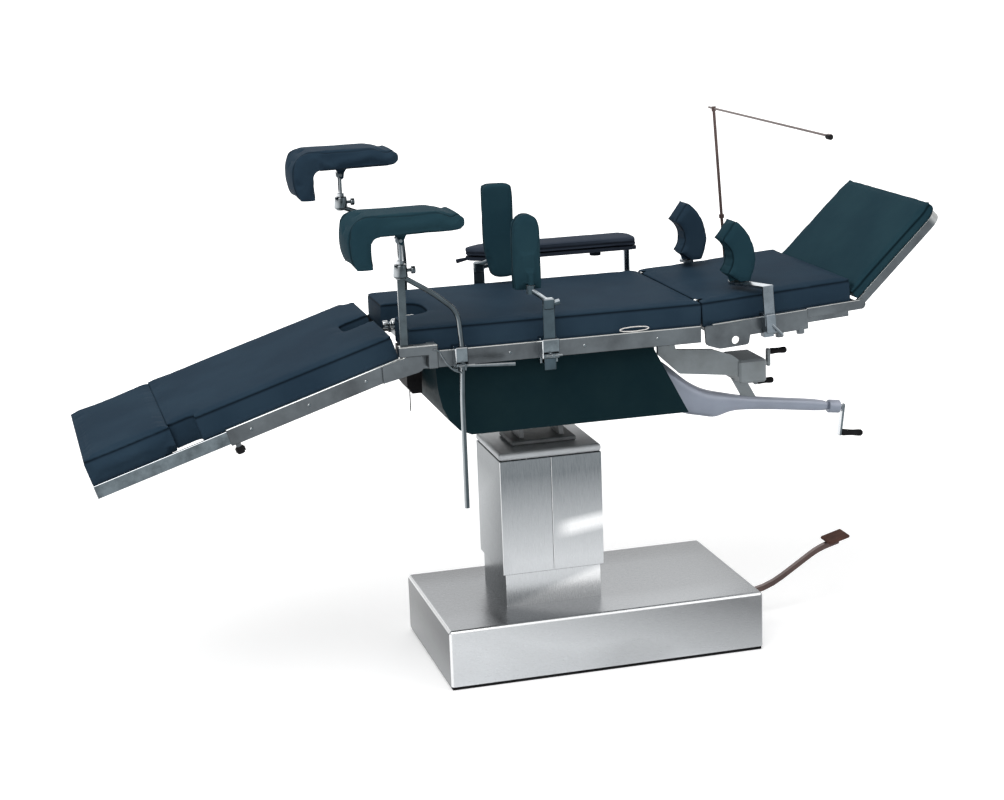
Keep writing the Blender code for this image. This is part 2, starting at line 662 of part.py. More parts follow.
def build_seat_frame():
    """Beams, cross members and rails, the cradle on the tilting cross, and the lugs of both section hinges."""
    z = (FRAME_TOP - FRAME_HEIGHT, FRAME_TOP)
    foot_x = LEG_HINGE_X + 0.030
    head_x = BACK_HINGE_X - 0.035
    shapes = []
    for _, side in BOTH_SIDES:
        shapes.append(block((foot_x, head_x), span(side, BEAM_IN, BEAM_OUT), z))
        lug = span(side, LUG_IN, LUG_IN + LUG)
        leg_eye = arc((LEG_HINGE_X, LEG_HINGE_Z), LEG_EYE, 90, 270, 8)
        leg_lug = [*leg_eye, (foot_x + 0.010, LEG_HINGE_Z - LEG_EYE), (foot_x + 0.010, LEG_HINGE_Z + LEG_EYE)]
        shapes.append(prism(leg_lug, "XZ", lug))
        eye = arc((BACK_HINGE_X, BACK_HINGE_Z), BACK_EYE, 150, -60, 7)
        back_lug = [*eye, (head_x + 0.004, z[0] + 0.012), (head_x - 0.030, z[0] + 0.012), (head_x - 0.018, z[1])]
        shapes.append(prism(back_lug, "XZ", lug))
        pin_y = span(side, LUG_IN + 0.002, LUG_IN + 2 * LUG + RUN + 0.002)
        pin_ends = [(BACK_HINGE_X, y, BACK_HINGE_Z) for y in pin_y]
        shapes.append(rod(*pin_ends, BACK_PIN))
    for x in (foot_x + 0.020, COLUMN_X - 0.075, COLUMN_X + 0.075, head_x - 0.040):
        shapes.append(block(around(x, 0.016), around(0, BEAM_IN + 0.005), (z[0] + 0.001, z[1] - 0.001)))
    for _, side in BOTH_SIDES:
        eye = arc((COLUMN_X, TILT_Z), EYE, 180, 360, 10)
        outline = [*eye, (COLUMN_X + 0.092, z[0] + 0.008), (COLUMN_X - 0.092, z[0] + 0.008)]
        shapes.append(prism(outline, "XZ", span(side, CRADLE_INNER, CRADLE_INNER + CRADLE_CHEEK)))
    shapes += side_rails((LEG_HINGE_X + 0.016, BACK_HINGE_X - 0.006), (-0.390, -0.230, -0.050, 0.130), RAIL_TOP)
    cups, slot = stay_cup()
    shapes += cups
    release_z = FRAME_TOP + RELEASE_HEIGHT
    release_x = (RELEASE_X - 0.002, RELEASE_X + 0.020)
    shapes.append(block(release_x, around(RELEASE_Y, 0.017), (FRAME_TOP - 0.004, release_z + 0.016), 0.002, 1))
    bearing = rod((COLUMN_X, -0.09, TILT_Z), (COLUMN_X, 0.09, TILT_Z), hole(TRUNNION))
    leg_pin = rod((LEG_HINGE_X, -BEAM_OUT, LEG_HINGE_Z), (LEG_HINGE_X, BEAM_OUT, LEG_HINGE_Z), hole(LEG_PIN))
    release = rod((RELEASE_X - 0.01, RELEASE_Y, release_z), (RELEASE_X + 0.014, RELEASE_Y, release_z), hole(0.005))
    cuts = (bearing, leg_pin, release, slot)
    piece("seat_frame", "rail steel", TABLE, shapes[0], add=shapes[1:], remove=cuts)


def build_release_knob():
    """The chrome leg release that stands in the cut-out at the foot end of the seat."""
    z = FRAME_TOP + RELEASE_HEIGHT
    face = RELEASE_X - 0.002 - GAP
    collar = [(0.0, 0.058), (0.009, 0.058), (0.010, 0.053), (0.010, 0.046)]
    neck = [(0.006, 0.042), (0.006, 0.039)]
    drum = [(0.012, 0.036), (0.013, 0.033), (0.013, 0.0), (0.0, 0.0)]
    knob = turned([*collar, *neck, *drum], (face, RELEASE_Y, z), (-1, 0, 0))
    stem = rod((face - 0.002, RELEASE_Y, z), (face + 0.014, RELEASE_Y, z), 0.005)
    piece("leg_release_knob", "chrome", TABLE, knob, add=(stem,))


def hinge_slots(middle_x, top, bottom):
    """Pockets in a cushion's end, open below, around the lugs of the back hinge."""
    slots = []
    for _, side in BOTH_SIDES:
        y = span(side, LUG_IN - 0.004, LUG_IN + 2 * LUG + RUN + 0.004)
        slots.append(block(around(middle_x, 0.056), y, (bottom - 0.01, top)))
    return slots


def build_seat_cushion():
    bottom = FRAME_TOP + GAP
    end = BACK_HINGE_X - SEAM
    slant = (BACK_HINGE_Z - bottom) * math.tan(math.radians(END_SLANT))
    foot = SEAT_PAD_FOOT_X
    outline = [
        (foot, bottom),
        (end - slant, bottom),
        (end, BACK_HINGE_Z),
        (end - 0.009, CUSHION_TOP),
        (foot + 0.008, CUSHION_TOP),
        (foot, CUSHION_TOP - 0.008),
    ]
    pad = prism(outline, "XZ", around(0, CUSHION_HALF))
    mouth = foot + CUT_OUT_DEPTH
    before = foot - 0.060
    corners = [(before, CUT_OUT_HALF), (before, -CUT_OUT_HALF), (mouth, -CUT_OUT_HALF), (mouth, CUT_OUT_HALF)]
    cut_out = prism(flat(round_corners(corners, 0.055, 5, closed=True)), "XY", (bottom - 0.01, CUSHION_TOP + 0.01))
    slots = hinge_slots(BACK_HINGE_X, BACK_HINGE_Z + BACK_EYE + 0.0005, bottom)
    piece("seat_cushion", "navy leather", TABLE, pad, remove=(cut_out, *slots))


def shroud_outline(inset=0.0, over=0.0):
    """The shroud's side, with a foot end that bulges at the top and curves in at the bottom."""
    foot = Vector((SHROUD_FOOT_X + inset, SHROUD_TOP + over))
    low = Vector((SHROUD_FOOT_BOTTOM_X + inset, SHROUD_BOTTOM - over))
    bulge = Vector((SHROUD_FOOT_X + inset, SHROUD_BOTTOM + 0.020))
    curve = [foot * (1 - t) ** 2 + bulge * 2 * t * (1 - t) + low * t**2 for t in (0.0, 0.2, 0.4, 0.6, 0.8, 1.0)]
    slope = (SHROUD_HEAD_BOTTOM_X - SHROUD_HEAD_X) / (SHROUD_TOP - SHROUD_BOTTOM)
    reach = 10 * inset
    head = [
        (SHROUD_HEAD_BOTTOM_X + reach + slope * over, SHROUD_BOTTOM - over),
        (SHROUD_HEAD_X + reach - slope * over, SHROUD_TOP + over),
    ]
    return flat(curve) + head


def build_shroud():
    """A painted skirt on both sides and the foot end, open below and at the head end."""
    skirt = prism(shroud_outline(), "XZ", around(0, SHROUD_HALF))
    hollow = prism(shroud_outline(SHEET, SHEET), "XZ", around(0, SHROUD_HALF - SHEET))
    flanges = []
    for _, side in BOTH_SIDES:
        y = span(side, SHROUD_HALF - 0.016, SHROUD_HALF - SHEET / 2)
        z = (SHROUD_TOP - SHEET, FRAME_TOP - FRAME_HEIGHT - GAP)
        flanges.append(block((SHROUD_FOOT_X + 0.02, SHROUD_HEAD_X - 0.02), y, z))
    piece("frame_shroud", "dark paint", TABLE, skirt, remove=(hollow,), later=flanges)


def drive_section(x, top, bottom, half):
    """One rounded section across the drive housing."""
    corners = [(-half, bottom), (half, bottom), (half, top), (-half, top)]
    loop = round_corners(corners, min(half, (top - bottom) / 2) * 0.6, 2, closed=True)
    return [(x, DRIVE_Y + point.x, point.y) for point in loop]


HORN = (
    (0.150, 0.765, 0.640, 0.030),
    (0.215, 0.706, 0.606, 0.030),
    (0.246, 0.678, 0.594, 0.029),
    (0.284, 0.655, 0.588, 0.027),
    (0.317, 0.645, 0.577, 0.025),
    (0.352, 0.637, 0.594, 0.022),
    (0.405, 0.623, 0.592, 0.018),
    (0.535, 0.606, 0.577, 0.0155),
    (0.628, 0.592, 0.562, 0.0155),
)


def build_drive():
    """The horn-shaped housing of the tilt drive."""
    horn = loft([drive_section(*station) for station in HORN])
    top = FRAME_TOP - FRAME_HEIGHT - GAP
    start, end = DRIVE_FOOT
    side_view = [(end, HORN[0][1] - 0.020), (end, top), (start, top), (start, top - 0.012)]
    foot = prism(side_view, "XZ", around(DRIVE_Y, HORN[0][3] - 0.002))
    bridge = block(DRIVE_FOOT, span(NEAR, -DRIVE_Y, BEAM_IN + 0.006), (top - 0.010, top))
    slope = math.radians(DRIVE_SLOPE)
    axis = Vector((math.cos(slope), 0, -math.sin(slope)))
    end = Vector((DRIVE_END_X, DRIVE_Y, DRIVE_END_Z))
    collar = rod(end - axis * 0.026, end, 0.0165)
    bore = rod(end - axis * 0.020, end + axis * 0.01, hole(SHAFT))
    piece("drive_housing", "pale housing", TABLE, horn, add=(foot, bridge, collar), remove=(bore,))


def build_gear_bracket():
    """The cast bracket beside the drive housing that carries the two small cranks' gearbox."""
    top = FRAME_TOP - FRAME_HEIGHT - GAP
    outline = [
        (0.160, top),
        (0.160, 0.760),
        (0.215, 0.708),
        (0.360, 0.690),
        (0.372, 0.680),
        (0.372, 0.724),
        (0.352, 0.740),
        (0.300, 0.760),
        (0.206, 0.768),
        (0.198, top),
    ]
    plate_y = span(NEAR, -DRIVE_Y + 0.0305, -DRIVE_Y + 0.0425)
    arm = prism(outline, "XZ", plate_y)
    foot = block((0.158, 0.206), span(NEAR, -DRIVE_Y + 0.0305, BEAM_IN + 0.010), (top - 0.009, top))
    box_y = span(NEAR, -LOWER_CRANK_Y - 0.018, -UPPER_CRANK_Y + 0.018)
    box = block((0.366, GEARBOX_X), box_y, (0.668, 0.7265), 0.005, 1)
    strut = prism([(0.364, 0.672), (0.398, 0.672), (0.438, 0.600), (0.404, 0.600)], "XZ", around(DRIVE_Y, 0.005))
    bores = []
    for y, z in ((UPPER_CRANK_Y, UPPER_CRANK_Z), (LOWER_CRANK_Y, LOWER_CRANK_Z)):
        bores.append(rod((GEARBOX_X - 0.022, y, z), (GEARBOX_X + 0.01, y, z), hole(SHAFT)))
    seat = loft([drive_section(x, high + GAP, low - GAP, half + GAP) for x, high, low, half in HORN])
    piece("gear_bracket", "grey casting", TABLE, arm, add=(foot, box, strut), remove=(*bores, seat))


def crank(name, finish, start, arm, sign, holder, grip_length):
    """A crank on a shaft along X that leaves the face at start, with a turning grip on its arm."""
    start = Vector(start)
    axis = Vector((1, 0, 0))
    up = Vector((0, 0, sign))
    shaft = rod(start - axis * 0.017, start + axis * 0.0105, SHAFT)
    base = start + axis * 0.006
    bar_z = tuple(sorted((start.z - sign * 0.008, start.z + sign * (arm + 0.007))))
    bar = block((base.x, base.x + CRANK_BAR), around(start.y, 0.007), bar_z, 0.002, 1)
    spindle_start = base + up * arm
    spindle = rod(spindle_start + axis * 0.004, spindle_start + axis * (grip_length - 0.006), CRANK_SPINDLE)
    piece(name, finish, holder, shaft, add=(bar, spindle))
    first = spindle_start + axis * (CRANK_BAR + GAP)
    last = spindle_start + axis * grip_length
    grip = rod(first, last, GRIP_RADIUS, GRIP_RADIUS * 0.85, 14)
    bore = rod(first - axis * 0.005, last - axis * 0.005, hole(CRANK_SPINDLE))
    piece(f"{name}_grip", "black plastic", holder, grip, remove=(bore,))


def build_cranks():
    crank("main_crank", "chrome", (0, 0, 0), MAIN_CRANK_ARM, -1, DRIVE, MAIN_GRIP_LENGTH)
    upper = (GEARBOX_X, UPPER_CRANK_Y, UPPER_CRANK_Z)
    crank("upper_crank", "grey casting", upper, UPPER_CRANK_ARM, 1, TABLE, SMALL_GRIP_LENGTH)
    lower = (GEARBOX_X, LOWER_CRANK_Y, LOWER_CRANK_Z)
    crank("lower_crank", "grey casting", lower, LOWER_CRANK_ARM, -1, TABLE, SMALL_GRIP_LENGTH)


def build_hinge_cover():
    """The black cover at the middle of the leg hinge, with its hanging release wire."""
    face = SHROUD_FOOT_X - GAP
    top = FRAME_TOP - FRAME_HEIGHT - GAP
    outline = [
        (face, SHROUD_TOP + GAP),
        (face + 0.020, SHROUD_TOP + GAP),
        (face + 0.020, top),
        (face - 0.036, top),
        (face - 0.036, 0.716),
        (face - 0.024, 0.698),
        (face, 0.698),
    ]
    cover = prism(outline, "XZ", around(0, 0.060))
    wire = rod((face - 0.018, 0, 0.641), (face - 0.018, 0, 0.705), 0.0015, sides=8)
    piece("leg_hinge_cover", "black plastic", TABLE, cover, add=(wire,))


def rail_clamp(x, side, length=CLAMP_LENGTH, top=RAIL_TOP, height=RAIL_HEIGHT):
    """The shapes of a jaw that hooks over a side rail, with a holder block on its outside."""
    inner = RAIL_OUT - RAIL_THICKNESS
    above = top + GAP
    below = top - height - GAP
    lip_top = below + 0.4 * height
    outline = [
        (inner - 0.0007, above),
        (RAIL_OUT + GAP, above),
        (RAIL_OUT + GAP, below),
        (inner - GAP, below),
        (inner - GAP, lip_top),
        (inner - GAP - CLAMP_LIP, lip_top),
        (inner - GAP - CLAMP_LIP, below - CLAMP_JAW),
        (CLAMP_OUT, below - CLAMP_JAW),
        (CLAMP_OUT, above + CLAMP_JAW),
        (inner - 0.0007, above + CLAMP_JAW),
    ]
    jaw = prism([(side * y, z) for y, z in outline], "YZ", around(x, length / 2))
    z = (below + 0.004, above + CLAMP_JAW)
    holder = block(around(x, length / 2), span(side, CLAMP_OUT - 0.002, HOLDER_OUT), z, 0.002, 1)
    return [jaw, holder]


def clamp_screw(x, y, z, side, length):
    """A clamping screw out of a holder's face, with a small bar handle."""
    screw = rod((x, y - side * 0.004, z), (x, y + side * length, z), 0.004, sides=10)
    tip = y + side * (length - 0.003)
    bar = rod((x - 0.016, tip, z), (x + 0.022, tip, z), 0.0028, sides=8)
    return [screw, bar]


def build_seat_clamps():
    """The clamps on the seat's rails for the knee supports, side supports and arm board."""
    low = RAIL_TOP - 0.080
    high = RAIL_TOP + 0.040
    for name, side, x in (("near", NEAR, NEAR_POLE_X), ("far", FAR, FAR_POLE_X)):
        y = side * POST_Y
        jaw, *rest = rail_clamp(x, side)
        rest += clamp_screw(x + 0.004, side * HOLDER_OUT, RAIL_TOP - 0.030, side, 0.018)
        if side == NEAR:
            lever_y = side * (HOLDER_OUT + 0.015)
            lever_end = (x + 0.120, lever_y, RAIL_TOP - 0.036)
            rest.append(rod((x + 0.004, lever_y, RAIL_TOP - 0.030), lever_end, 0.003, 0.005, 10))
        bore = rod((x, y, low), (x, y, high), hole(POLE_RADIUS))
        piece(f"{name}_knee_clamp", "chrome", TABLE, jaw, add=rest, remove=(bore,))
    for name, side, x in (("near", NEAR, SIDE_NEAR_X), ("far", FAR, SIDE_FAR_X)):
        y = around(side * POST_Y, SIDE_BAR_THICKNESS / 2 + RUN)
        jaw, *rest = rail_clamp(x, side, SIDE_BAR_WIDTH + 0.014)
        rest += clamp_screw(x, side * HOLDER_OUT, RAIL_TOP - 0.026, side, 0.018)
        bore = block(around(x, SIDE_BAR_WIDTH / 2 + RUN), y, (low, high))
        piece(f"{name}_side_clamp", "chrome", TABLE, jaw, add=rest, remove=(bore,))

    jaw, *rest = rail_clamp(ARM_CLAMP_X, FAR)
    rest += clamp_screw(ARM_CLAMP_X, HOLDER_OUT, RAIL_TOP - 0.024, FAR, 0.020)
    z = (RAIL_TOP - 0.014, RAIL_TOP + 0.006)
    y_in = HOLDER_OUT - 0.012
    rest.append(block((ARM_CLAMP_X, ARM_PIVOT_X + 0.010), (y_in, HOLDER_OUT - 0.002), z))
    rest.append(block(around(ARM_PIVOT_X, 0.010), (y_in, ARM_PIVOT_Y + 0.010), z))
    shoulder = ARM_BOARD_Z - GAP
    pin_top = ARM_BOARD_Z + ARM_BOARD_THICKNESS - 0.002
    rest.append(rod((ARM_PIVOT_X, ARM_PIVOT_Y, z[0] + 0.002), (ARM_PIVOT_X, ARM_PIVOT_Y, shoulder), 0.009))
    rest.append(rod((ARM_PIVOT_X, ARM_PIVOT_Y, shoulder - 0.005), (ARM_PIVOT_X, ARM_PIVOT_Y, pin_top), 0.005))
    piece("arm_board_clamp", "chrome", TABLE, jaw, add=rest)


def build_knee_support(name, side, pole_x, bottom, bend_z, knuckle_x, knuckle_z):
    """A knee support: bent pole with its knuckle, a swivelling rod, and the curved pad.

    On the near side a flat stay also stands under the knuckle.
    """
    y = side * POST_Y
    route = [(pole_x, y, bottom), (pole_x, y, bend_z), (knuckle_x, y, knuckle_z - 0.011)]
    pole = tube(round_corners(route, POLE_BEND, 5), POLE_RADIUS)
    low = knuckle_z - KNUCKLE_HEIGHT / 2
    high = knuckle_z + KNUCKLE_HEIGHT / 2
    knuckle = rod((knuckle_x, y, low), (knuckle_x, y, high), KNUCKLE_RADIUS, KNUCKLE_RADIUS * 0.85)
    screw = rod((knuckle_x, y, knuckle_z), (knuckle_x + 0.030, y, knuckle_z), 0.004, sides=10)
    knob = rod((knuckle_x + 0.024, y, knuckle_z), (knuckle_x + 0.034, y, knuckle_z), 0.009, sides=10)
    bore = rod((knuckle_x, y, knuckle_z - 0.004), (knuckle_x, y, high + 0.01), hole(KNEE_ROD_RADIUS))
    joined = [knuckle, screw, knob]
    if side == NEAR:
        stay_x = around(knuckle_x, STAY_WIDTH / 2)
        joined.append(block(stay_x, around(y, STAY_THICKNESS / 2), (STAY_BOTTOM, knuckle_z)))
    piece(f"{name}_knee_pole", "chrome", TABLE, pole, add=joined, remove=(bore,))

    pivot = knuckle_z + KNEE_ROD_LENGTH
    stem = rod((knuckle_x, y, knuckle_z - 0.003), (knuckle_x, y, pivot), KNEE_ROD_RADIUS)
    collar = rod((knuckle_x, y, high + GAP), (knuckle_x, y, high + 0.008), 0.009)
    eye = rod((knuckle_x, y - 0.008, pivot), (knuckle_x, y + 0.008, pivot), 0.010)
    pin = rod((knuckle_x, y - 0.020, pivot), (knuckle_x, y + 0.020, pivot), KNEE_PIN)
    piece(f"{name}_knee_rod", "chrome", TABLE, stem, add=(collar, eye, pin))

    build_knee_pad(name, side, knuckle_x, pivot)


def build_knee_pad(name, side, pivot_x, pivot_z):
    """A pad bent over under the leg: a flat top with a roll at the head side and a limb that hangs at the foot."""
    y = side * POST_Y
    bottom = pivot_z + KNEE_PAD_LIFT
    top = bottom + KNEE_PAD_THICKNESS
    low = bottom - KNEE_PAD_DROP
    head_x = pivot_x + KNEE_PAD_HEAD
    outer_x = pivot_x - KNEE_PAD_FOOT_OUT
    inner_x = pivot_x - KNEE_PAD_FOOT_IN
    roll_z = bottom + KNEE_ROLL_RADIUS + 0.001
    upper = [(head_x, roll_z + 0.012), (head_x - 0.034, top), (outer_x, top), (outer_x, low + 0.040), (outer_x + 0.014, low)]
    lower = [(inner_x + 0.005, low), (inner_x, low + 0.035), (inner_x + 0.002, bottom), (head_x, bottom + 0.002)]
    outline = flat(round_corners(upper, 0.055, 5)) + flat(round_corners(lower, 0.040, 5))
    pad_y = around(y, KNEE_PAD_WIDTH / 2)
    pad = prism(outline, "XZ", pad_y)
    roll = rod((head_x, pad_y[0], roll_z), (head_x, pad_y[1], roll_z), KNEE_ROLL_RADIUS, sides=14)
    cheeks = []
    for sign in (-1, 1):
        cheek_y = tuple(sorted((y + sign * 0.0085, y + sign * 0.0145)))
        eye = arc((pivot_x, pivot_z), 0.009, 180, 360, 6)
        cheek = [*eye, (pivot_x + 0.016, bottom + 0.004), (pivot_x - 0.016, bottom + 0.004)]
        cheeks.append(prism(cheek, "XZ", cheek_y))
    bore = rod((pivot_x, y - 0.05, pivot_z), (pivot_x, y + 0.05, pivot_z), hole(KNEE_PIN))
    finish = "teal leather" if side == NEAR else "navy leather"
    piece(f"{name}_knee_pad", finish, TABLE, pad, add=(roll, *cheeks), remove=(bore,))


def build_side_support(name, side, x, pad_x, pad_width, low, high, rounded):
    """A flat bar in its rail clamp, an offset elbow, and a pad that turns on the elbow's pin."""
    y = side * POST_Y
    bar_z = (SIDE_BAR_BOTTOM, SIDE_BAR_TOP)
    bar = block(around(x, SIDE_BAR_WIDTH / 2), around(y, SIDE_BAR_THICKNESS / 2), bar_z, 0.0015, 1)
    joint_z = SIDE_BAR_TOP + 0.006
    pivot = Vector((pad_x, side * (SIDE_PAD_Y + SIDE_PIN_OFFSET), joint_z + 0.022))
    head = block(around(x, 0.013), around(y, 0.009), (SIDE_BAR_TOP - 0.012, SIDE_BAR_TOP + 0.014), 0.003, 1)
    link = rod((x, y, joint_z), pivot, 0.0055, sides=12)
    boss = rod(pivot - Vector((0, 0, 0.010)), pivot + Vector((0, 0, 0.010)), 0.010)
    pin = rod(pivot, pivot + Vector((0, 0, 0.034)), SIDE_PIN)
    knob = rod((x + 0.008, y, SIDE_BAR_TOP), (x + 0.026, y, SIDE_BAR_TOP + 0.004), 0.007, sides=10)
    piece(f"{name}_side_post", "chrome", TABLE, bar, add=(head, link, boss, pin, knob))

    half = pad_width / 2
    if rounded:
        outline = [(pad_x - half, low), (pad_x + half, low), *arc((pad_x, high - half), half, 0, 180, 10)]
    else:
        corners = [
            (pad_x - half + 0.018, low),
            (pad_x + half, low),
            (pad_x + half, high),
            (pad_x - half, high),
            (pad_x - half, low + 0.080),
        ]
        outline = flat(round_corners(corners, 0.016, 3, closed=True))
    outer = SIDE_PAD_Y + SIDE_PAD_BACK
    pad = prism(outline, "XZ", span(side, outer - SIDE_PAD_THICKNESS, outer))
    plate_low = pivot.z + 0.0105
    plate_z = (plate_low, plate_low + 0.070)
    back = block(around(pad_x, 0.016), span(side, outer - 0.001, outer + 0.0045), plate_z)
    socket = rod((pivot.x, pivot.y, plate_low), (pivot.x, pivot.y, plate_low + 0.030), 0.0098)
    bore = rod((pivot.x, pivot.y, plate_low - 0.01), (pivot.x, pivot.y, plate_low + 0.0255), hole(SIDE_PIN))
    piece(f"{name}_side_pad", "teal leather", TABLE, pad, add=(back, socket), remove=(bore,))


def build_arm_board():
    low = ARM_BOARD_Z
    high = low + ARM_BOARD_THICKNESS
    right = ARM_PIVOT_X + 0.022
    left = right - ARM_BOARD_LENGTH
    y_in = ARM_PIVOT_Y - 0.033
    y_out = y_in + ARM_BOARD_WIDTH
    corners = [(left + 0.050, y_in), (right, y_in), (right, y_out), (left + 0.050, y_out), (left, y_out - 0.034), (left, y_in + 0.034)]
    outline = [tuple(point) for point in round_corners(corners, 0.018, 3, closed=True)]
    board = prism(outline, "XY", (low, high))
    boss = rod((ARM_PIVOT_X, ARM_PIVOT_Y, low - 0.0), (ARM_PIVOT_X, ARM_PIVOT_Y, high - 0.001), 0.013)
    bore = rod((ARM_PIVOT_X, ARM_PIVOT_Y, low - 0.01), (ARM_PIVOT_X, ARM_PIVOT_Y, high - 0.0010), hole(0.005))
    knob = rod((ARM_PIVOT_X - 0.085, ARM_PIVOT_Y, low - 0.012), (ARM_PIVOT_X - 0.085, ARM_PIVOT_Y, low + 0.002), 0.015, sides=12)
    tip = rod((left + 0.010, (y_in + y_out) / 2, (low + high) / 2), (left - 0.026, (y_in + y_out) / 2, (low + high) / 2 - 0.006), 0.0035, 0.006, 10)
    piece("arm_board", "black plastic", TABLE, board, add=(boss, knob, tip), remove=(bore,))
    pad = prism(outline, "XY", (high + GAP, high + ARM_PAD_THICKNESS))
    piece("arm_board_pad", "navy leather", TABLE, pad)


def build_back_frame():
    """Beams and rails of the back section, its hinge plates, and the sockets of the head arms."""
    top = back_z(FRAME_TOP)
    bottom = top - FRAME_HEIGHT
    rail_top = back_z(RAIL_TOP)
    start = 0.036
    end = BACK_LENGTH - 0.022
    shapes = []
    bores = []
    for _, side in BOTH_SIDES:
        shapes.append(block((start, end), span(side, BEAM_IN, BEAM_OUT), (bottom, top)))
        lug = span(side, LUG_IN + LUG + RUN, LUG_IN + 2 * LUG + RUN)
        eye = arc((0, 0), BACK_EYE, 240, 30, 7)
        outline = [*eye, (start + 0.018, top), (start + 0.030, bottom + 0.012), (start - 0.004, bottom + 0.012)]
        shapes.append(prism(outline, "XZ", lug))
        socket_y = span(side, CUSHION_HALF + 0.0005, RAIL_OUT + 0.0035)
        shapes.append(block(SOCKET, socket_y, (rail_top - 0.047, rail_top + 0.0005), 0.001, 1))
        shapes.append(block(SOCKET, span(side, BEAM_OUT - 0.004, RAIL_OUT - 0.002), (rail_top - 0.046, top - 0.002)))
        for x in (SOCKET[0] + 0.018, SOCKET[1] - 0.018):
            y = side * (RAIL_OUT - RAIL_THICKNESS / 2)
            shapes.append(rod((x, y, rail_top - 0.057), (x, y, rail_top - 0.044), 0.010, sides=10))
        y = span(side, RAIL_OUT - RAIL_THICKNESS + 0.0015 - GAP, RAIL_OUT - 0.0015 + GAP)
        bores.append(block((SOCKET[0] + 0.010, SOCKET[1] + 0.02), y, around(TENON_Z, TENON_HALF + GAP)))
        y = span(side, RAIL_OUT + GAP, RAIL_OUT + GAP + 0.007)
        plate = [
            (-0.003, rail_top - 0.001),
            (-0.003, rail_top - 0.046),
            (0.030, rail_top - 0.060),
            (0.104, rail_top - 0.060),
            (0.118, rail_top - 0.001),
        ]
        shapes.append(prism(flat(round_corners(plate, 0.006, 2, closed=True)), "XZ", y))
        shapes.append(block((0.060, 0.100), span(side, RAIL_OUT - 0.002, RAIL_OUT + 0.002), (rail_top - 0.030, rail_top - 0.010)))
        bores.append(rod((0.072, side * 0.22, rail_top - 0.045), (0.072, side * 0.30, rail_top - 0.045), 0.010))
    for x in (start + 0.016, 0.200, end - 0.016):
        shapes.append(block(around(x, 0.016), around(0, BEAM_IN + 0.005), (bottom + 0.001, top - 0.001)))
    shapes += side_rails((0.020, SOCKET[0] + 0.001), (0.052, 0.110), rail_top)
    bores.append(rod((0, -0.22, 0), (0, 0.22, 0), hole(BACK_PIN)))
    piece("back_frame", "rail steel", BACK, shapes[0], add=shapes[1:], remove=bores)


def build_back_cushion():
    low = back_z(FRAME_TOP) + GAP
    high = back_z(CUSHION_TOP)
    slant = -low * math.tan(math.radians(END_SLANT))
    mitre = BACK_LENGTH - 0.021
    outline = [
        (SEAM + slant, low),
        (mitre - 0.003, low),
        (mitre, -HEAD_HINGE_DROP + 0.046),
        (mitre, high),
        (SEAM + 0.009, high),
        (SEAM, 0),
    ]
    pad = prism(outline, "XZ", around(0, CUSHION_HALF))
    piece("back_cushion", "navy leather", BACK, pad, remove=hinge_slots(0, BACK_EYE + 0.0005, low))


def build_head_arms():
    """The two flat arms in the back's sockets, and the shaft between them on which the head plate turns."""
    shapes = []
    for _, side in BOTH_SIDES:
        y = span(side, RAIL_OUT - RAIL_THICKNESS, RAIL_OUT)
        shapes.append(block((SOCKET[1] + GAP, BACK_LENGTH - 0.002), y, (ARM_LOW, ARM_HIGH), 0.001, 1))
        tenon_y = span(side, RAIL_OUT - RAIL_THICKNESS + 0.0015, RAIL_OUT - 0.0015)
        shapes.append(block((SOCKET[0] + 0.012, SOCKET[1] + 0.0009), tenon_y, around(TENON_Z, TENON_HALF)))
        shapes.append(rod((BACK_LENGTH, y[0], -HEAD_HINGE_DROP), (BACK_LENGTH, y[1], -HEAD_HINGE_DROP), 0.0115))
    reach = RAIL_OUT - RAIL_THICKNESS / 2
    shaft = rod((BACK_LENGTH, -reach, -HEAD_HINGE_DROP), (BACK_LENGTH, reach, -HEAD_HINGE_DROP), HEAD_SHAFT)
    piece("head_arms", "rail steel", BACK, shapes[0], add=(*shapes[1:], shaft))


def build_head():
    """The head plate: side bars with hinge eyes, cross plate, and its cushion with rounded corners."""
    bar_out = RAIL_OUT - RAIL_THICKNESS - RUN
    bar_in = bar_out - 0.0095
    length = HEAD_LENGTH
    start = 0.030
    top = 0.0115

    def plan(half, far_end, corner):
        """The plate's plan, square at the hinge and round at the free end."""
        corners = [(start, -half), (far_end, -half), (far_end, half), (start, half)]
        rounded = flat(round_corners(corners[:1] + corners[1:3] + corners[3:], corner, 5))
        return rounded

    plate = prism(plan(bar_out, length, 0.045), "XY", (-0.0100, top))
    pocket = prism([(x - 0.010 if x > start else x - 0.02, y) for x, y in plan(bar_in, length, 0.036)], "XY", (-0.02, 0.0070))
    shapes = []
    for _, side in BOTH_SIDES:
        y = span(side, bar_in, bar_out)
        shapes.append(block((0.0, 0.060), y, (-0.0100, 0.0100)))
        shapes.append(rod((0, y[0], 0), (0, y[1], 0), 0.0110))
    bore = rod((0, -RAIL_OUT, 0), (0, RAIL_OUT, 0), hole(HEAD_SHAFT))
    piece("head_frame", "rail steel", HEAD, plate, add=shapes, remove=(pocket, bore))

    low = top + GAP
    high = 0.042
    side_view = [(0.006, low), (length, low), (length, high - 0.010), (length - 0.008, high), (0.024, high)]
    pad = prism(side_view, "XZ", around(0, CUSHION_HALF))
    corners = [(-0.2, -CUSHION_HALF), (length, -CUSHION_HALF), (length, CUSHION_HALF), (-0.2, CUSHION_HALF)]
    trim = prism(flat(round_corners(corners, 0.045, 5, closed=True)), "XY", (low - 0.01, high + 0.01))
    piece("head_cushion", "teal leather", HEAD, pad, within=(trim,))


